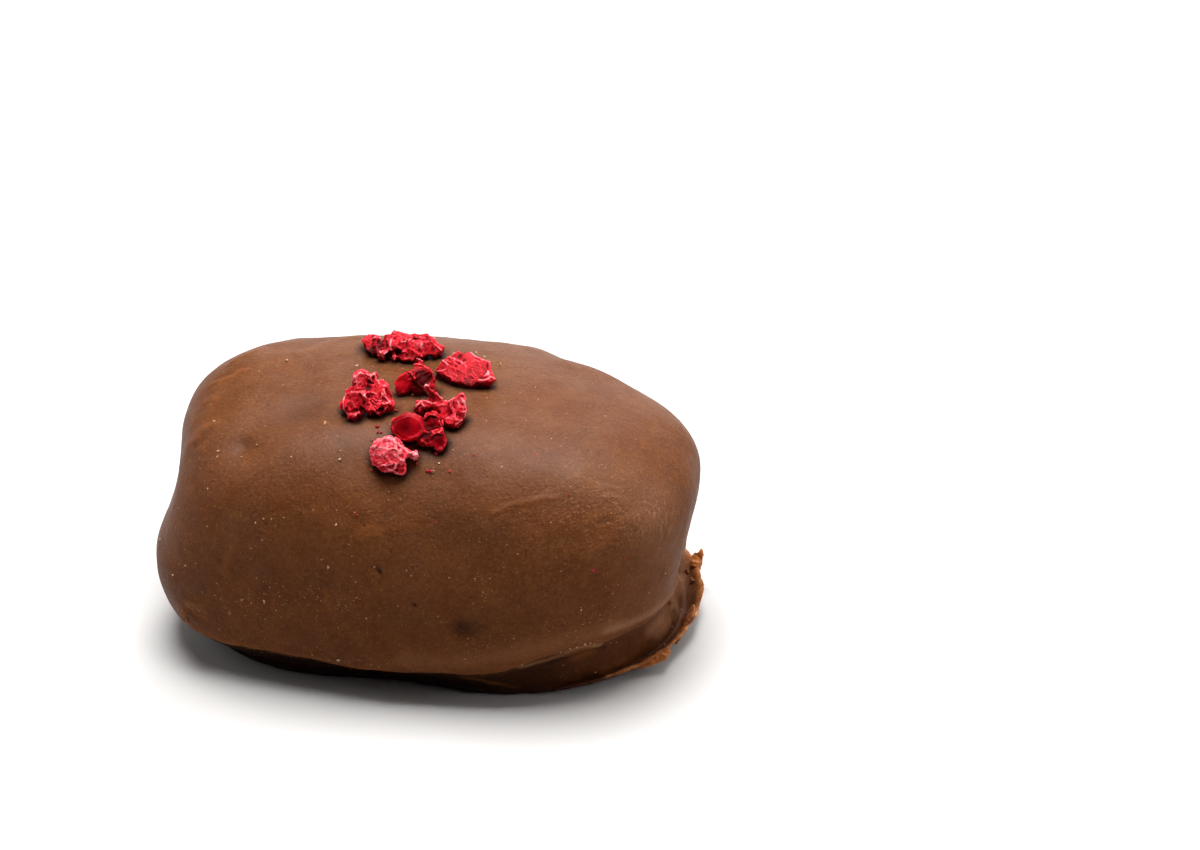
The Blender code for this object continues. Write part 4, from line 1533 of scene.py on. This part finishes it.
# lines along which fine pale specks gather: pixels and width in mm
frostBands = [
    ([(217, 628), (235, 637), (255, 643), (283, 649)], 0.5),
    ([(300, 652), (330, 657), (365, 663), (400, 668), (430, 670)], 0.6),
    ([(470, 650), (480, 645), (500, 640), (520, 640)], 0.9),
    ([(545, 652), (565, 645), (583, 640), (600, 640)], 0.5),
    ([(560, 625), (580, 622), (600, 618), (615, 612)], 1.0),
    ([(230, 600), (260, 605), (300, 600), (340, 605)], 1.6), ([(480, 600), (490, 590), (484, 580)], 0.7),
]
# painted shade under the lip, by plan angle
underLipShadeByAngle = {180: 0.9, -120: 1.0, -70: 1.0, -50: 0.75, -35: 0.4, -20: 0.15, 20: 0.1, 60: 0.8}  # by plan angle
brushing = {"right end": ((662, 520), 2.2), "right front": ((600, 500), 4.5)}  # pixel and radius
coatSkin = {
    "waves": [(0.14, 4.5, 1.0), (0.05, 1.8, 4.0)],  # height, length and seed
    "footWaves": [(0.16, 1.5, 6.0), (0.07, 0.6, 8.0)],
    "footRows": 8,  # over which the foot's looks fade out below the lip
    "footFlat": 0.3,  # height under which the foot stays as it is
    "upward": (0.05, 0.75),  # slopes from which a face looks up, and by how much it counts fully
    "dustFloor": 1.5,  # no dust lower than this
    # painted shadow of the bits on the coat: the height it starts at, its reach and where it ends
    "dust": (0.6, 5.0),  # density of the dust, and what the frost adds
    "bitZone": 15.0,  # height over which the bits darken the coat
    "contact": (0.5, 1.5),  # reach of that shade, and where it ends
}


def markCoat():
    # the marks move the skin and leave attributes for the chocolate's shader, painted shade, sheen and glow
    # among them
    points, normals = pointsOf(coatMesh), normalsOf(coatMesh)
    height = waves(points, coatSkin["waves"]) * rising(points[:, 2], coatShape["reliefFade"])
    lipRow = coatShape["segments"] // 2 + coatShape["wallRows"]
    foot = rising(lipRow + 1 - coatRow, coatSkin["footRows"])
    height += waves(points, coatSkin["footWaves"]) * foot * rising(points[:, 2] - coatSkin["footFlat"], 1.0)
    looks = {name: np.zeros(len(points)) for name in ("pale", "warm", "dark")}
    for mark in coatMarks.values():
        for pixels in mark["lines"]:
            near = nearness(points, seenPath(coatTree, pixels), mark["width"])
            height += mark["height"] * near
            for name in looks:
                looks[name] += mark.get(name, 0.0) * near
    for near, (pixel, radius, depth, darkness) in zip(spots(coatTree, points, coatDents), coatDents):
        # a dent sinks and gets painted shade
        height -= depth * near
        looks["dark"] += darkness * near
    frost = np.zeros(len(points))
    for pixels, width in frostBands:
        frost = np.maximum(frost, nearLines(coatTree, points, [pixels], width))
    for near, name in zip(spots(coatTree, points, brushing.values()), brushing):
        looks["brushed " + name] = near
    turns = np.degrees(np.arctan2(points[:, 1], points[:, 0]))
    least, most = coatSkin["upward"]
    dust, frostDust = coatSkin["dust"]
    looks["foot"] = foot
    # painted shade under the lip
    looks["gloom"] = foot * around(underLipShadeByAngle, turns)
    looks["frost"] = frost
    looks["up"] = rising(normals[:, 2] + least, most)
    looks["dusting"] = np.where(points[:, 2] > coatSkin["dustFloor"], dust + frostDust * frost, 0.0)
    setPoints(coatMesh, points + normals * height[:, None])
    for name, values in looks.items():
        setAttribute(coatMesh, name, values)


def shadeCoat(bitTree):
    # painted shadow on the coat round the bits
    points = pointsOf(coatMesh)
    reach, end = coatSkin["contact"]
    gaps = np.full(len(points), np.inf)
    for index in np.flatnonzero(points[:, 2] > coatSkin["bitZone"]).tolist():
        gap = bitTree.find_nearest(points[index].tolist(), end)[3]
        if gap is not None:
            gaps[index] = gap
    setAttribute(coatMesh, "contact", fading(gaps, reach))


coatLook = {
    "body": ((0.102, 0.0300, 0.0062), (0.125, 0.0375, 0.0086)),  # two broad tones
    # edgeGlow: painted glow of light through the foot's thin edge
    "edgeGlow": ((0.40, 0.115, 0.022), (0.68, 0.30, 0.11)),  # two tones of the foot's thin edge
    "layers": {  # share and colour of what lies over the body
        "cloud": (0.65, (0.090, 0.0235, 0.0045)),
        "warmPatch": (0.55, (0.145, 0.0440, 0.0100)),
        "coolPatch": (0.6, (0.085, 0.0260, 0.0075)),
        "grain": (0.55, (0.165, 0.056, 0.016)),
        "wisps": (0.4, (0.22, 0.085, 0.032)),
        "strokes": (0.6, (0.27, 0.115, 0.05)),
        "frost": (0.3, (0.36, 0.20, 0.11)),
        # foot: painted shade, a darker colour on the rows below the lip
        "foot": (0.6, (0.075, 0.018, 0.0035)),
        # painted shade under the lip
        "gloom": (0.96, (0.007, 0.002, 0.0008)),
        # warm: orange smears and seams, and a painted glow on the wall
        "warm": (0.6, (0.36, 0.11, 0.025)),
        # pale: paler chocolate, and painted sheen and highlights on edges, lip, wall and shoulder
        "pale": (0.5, (0.24, 0.11, 0.055)),
        # dark: painted shade in dents, slits and gaps
        "dark": (0.8, (0.02, 0.006, 0.003)),
        # painted shadow round the bits
        "contact": (0.96, (0.005, 0.0015, 0.0006)),
    },
    "noise": {  # size in mm, detail, roughness and distortion
        "broad": (9.0, 3.0, 0.5, 0.0),
        "medium": (2.2, 4.0, 0.6, 0.7),
        "fine": (0.3, 4.0, 0.65, 0.0),
        "hues": (3.2, 5.0, 0.7, 0.5),
        "wisps": (0.55, 2.0, 0.5, 1.5),
        "wispZones": (2.5, 2.0, 0.5, 0.0),
        "strokeZones": (2.8, 2.0, 0.5, 0.0),
        "frost": (0.45, 4.0, 0.75, 0.0),
        "mottled": (0.7, 3.0, 0.6, 0.0),
        "ripple": (1.6, 4.0, 0.55, 0.4),
    },
    "strokes": [  # direction, width and length in mm, how few they are, strength, and where they are
        ((0.25, 0.35, 0.9), 0.2, 3.2, 0.53, 1.3, "right end"),
        ((0.8, 0.1, 0.6), 0.18, 2.2, 0.54, 1.0, "right front"),
        ((0.85, 0.5, 0.1), 0.11, 1.3, 0.56, 0.45, "top"),
        ((0.8, -0.55, 0.2), 0.11, 1.1, 0.56, 0.35, "top"),
    ],
    "specks": [  # cell and radius in mm, share of the cells, shift, colour and strength
        (0.45, 0.17, 0.5, 0.0, (0.26, 0.10, 0.040), 0.6),
        (0.6, 0.15, 0.5, 5.0, (0.04, 0.010, 0.003), 0.75),
        (1.6, 0.06, 0.4, 9.0, (0.48, 0.30, 0.18), 0.7),
        (2.6, 0.045, 0.4, 14.0, (0.45, 0.03, 0.02), 0.8),
        (2.2, 0.07, 0.35, 19.0, (0.07, 0.010, 0.004), 0.8),
    ],
    "pores": 0.55,
    "bumps": {"ripple": 0.13, "skin": 0.026},  # depths in mm
    "skin": {"fine": 4.5, "pores": 1.2, "wisps": 0.9, "strokes": 1.6, "frost": 2.0},  # shares of its bump
    "roughness": {"usual": 0.46, "medium": 0.3, "fine": 0.3, "foot": 0.08},
    "specular": 0.05,
    "sheen": (0.22, 0.5),  # weight and roughness, where it looks up
}


def makeChocolate():
    look = coatLook
    paint = Paint("milkChocolate")

    def over(tone, name, mask=None):
        # a layer's colour over the tone, where the mask or the mesh's attribute has it
        share, colour = look["layers"][name]
        return paint.mix((mask or paint.attribute(name)) * share, tone, colour)

    seen = paint.patterns(look["noise"])
    up = paint.attribute("up")
    tone = paint.mix(paint.between(seen["broad"], 0.3, 0.7), *look["body"])
    tone = over(tone, "cloud", paint.between(seen["medium"], 0.35, 0.65))
    tone = over(tone, "warmPatch", paint.between(seen["hues"], 0.5, 0.68))
    tone = over(tone, "coolPatch", paint.between(seen["hues"], 0.48, 0.32))
    tone = over(tone, "grain", paint.between(seen["fine"], 0.42, 0.72))
    wisps = paint.between(abs(seen["wisps"] - 0.5), 0.03, 0.0) * paint.between(seen["wispZones"], 0.4, 0.65)
    tone = over(tone, "wisps", wisps)
    zones = {name: paint.attribute("brushed " + name) for name in brushing}
    zones["top"] = paint.between(seen["strokeZones"], 0.42, 0.6) * (0.3 + up * 0.7)
    strokes = 0.0
    for course, width, length, low, strength, zone in look["strokes"]:
        strokes = strokes + paint.brushed(course, width, length, low) * zones[zone] * strength
    tone = over(tone, "strokes", strokes)
    for size, radius, share, shift, colour, strength in look["specks"]:
        tone = paint.mix(paint.specks(size, radius, share, shift) * strength, tone, colour)
    frost = paint.attribute("frost") * paint.between(seen["frost"], 0.55, 0.7)
    tone = over(tone, "frost", frost)
    # painted shade on the foot and under the lip
    for name in ("foot", "gloom"):
        tone = over(tone, name)
    # painted glow of light through the foot's thin edge
    glow = paint.mix(paint.between(seen["mottled"], 0.35, 0.7), *look["edgeGlow"])
    tone = paint.mix(paint.attribute("edge") * (0.6 + seen["mottled"] * 0.6), tone, glow)
    for name in ("warm", "pale", "dark", "contact"):
        tone = over(tone, name)
    pores = paint.between(paint.cells(look["pores"]), 0.1, 0.32) * paint.between(seen["broad"], 0.35, 0.6)
    grains = {"fine": seen["fine"], "pores": pores, "wisps": wisps, "strokes": strokes, "frost": frost}
    skin = sum(grains[name] * share for name, share in look["skin"].items())
    ripple = paint.bump(seen["ripple"], look["bumps"]["ripple"])
    bump = paint.bump(skin, look["bumps"]["skin"], over=ripple)
    roughness = look["roughness"]
    rough = roughness["usual"] + (seen["medium"] - 0.5) * roughness["medium"]
    rough = rough + (seen["fine"] - 0.5) * roughness["fine"] + paint.attribute("foot") * roughness["foot"]
    weight, blur = look["sheen"]
    return paint.finish(Base_Color=tone, Roughness=rough, Normal=bump, Specular_IOR_Level=look["specular"],
                        Coat_Weight=up * (1 - paint.attribute("contact")) * weight, Coat_Roughness=blur)


def makeCoat():
    coat = newPiece("chocolateCoat", coatMesh, makeChocolate())
    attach(coat, "root")
    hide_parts("chocolate_date")


markCoat()
shadeCoat(makeRaspberryBits())
makeCrumbs()
makeScraps()
makeCoat()
print("coat made")


# floor and light, in metres, watts and degrees
studio = {
    "floorSize": 6.0,
    "floorColour": (0.5, 0.49, 0.482),
    "glow": (300.0, 1000.0),  # mm from the date between which the floor turns to light
    "distance": 0.5,  # of the softboxes
    "softbox": 0.3,
    "lights": {  # degrees round from the front, degrees up, and watts
        "top": (192, 82, 5.4),
        "back right": (125, 45, 0.7),
        "back": (180, 20, 0.9),
        "left": (270, 30, 0.5),
        "right": (90, 22, 0.9),
    },
    "world": 0.02,
}


def makeFloor():
    grid = bmesh.new()
    bmesh.ops.create_grid(grid, x_segments=1, y_segments=1, size=studio["floorSize"] / 2)
    mesh = meshOf(grid, "floor")
    paint = Paint("floorWhite")
    away = paint.vector("LENGTH", {"Vector": paint.place}, "Value")
    far = paint.mix(paint.between(away, *studio["glow"]), (0.0, 0.0, 0.0), (1.0, 1.0, 1.0))
    mesh.materials.append(paint.finish(Base_Color=(*studio["floorColour"], 1.0), Roughness=0.6,
                                       Emission_Color=far, Emission_Strength=1.0))
    floor = linked("floor", mesh)


def addSoftbox(name, azimuth, elevation, power):
    course = towards(azimuth, elevation)
    data = bpy.data.lights.new(name, "AREA")
    data.size = studio["softbox"]
    data.energy = power
    light = linked(name, data)
    light.location = course * studio["distance"]
    light.rotation_euler = course.to_track_quat("Z", "Y").to_euler()


def makeStudio():
    makeFloor()
    for name, aim in studio["lights"].items():
        addSoftbox(name, *aim)
    world = bpy.data.worlds.new("studio")
    world.use_nodes = True
    background = world.node_tree.nodes["Background"]
    background.inputs["Color"].default_value = (1.0, 1.0, 1.0, 1.0)
    background.inputs["Strength"].default_value = studio["world"]
    bpy.context.scene.world = world
    bpy.context.scene.view_settings.view_transform = "Standard"


makeStudio()
print("studio made")
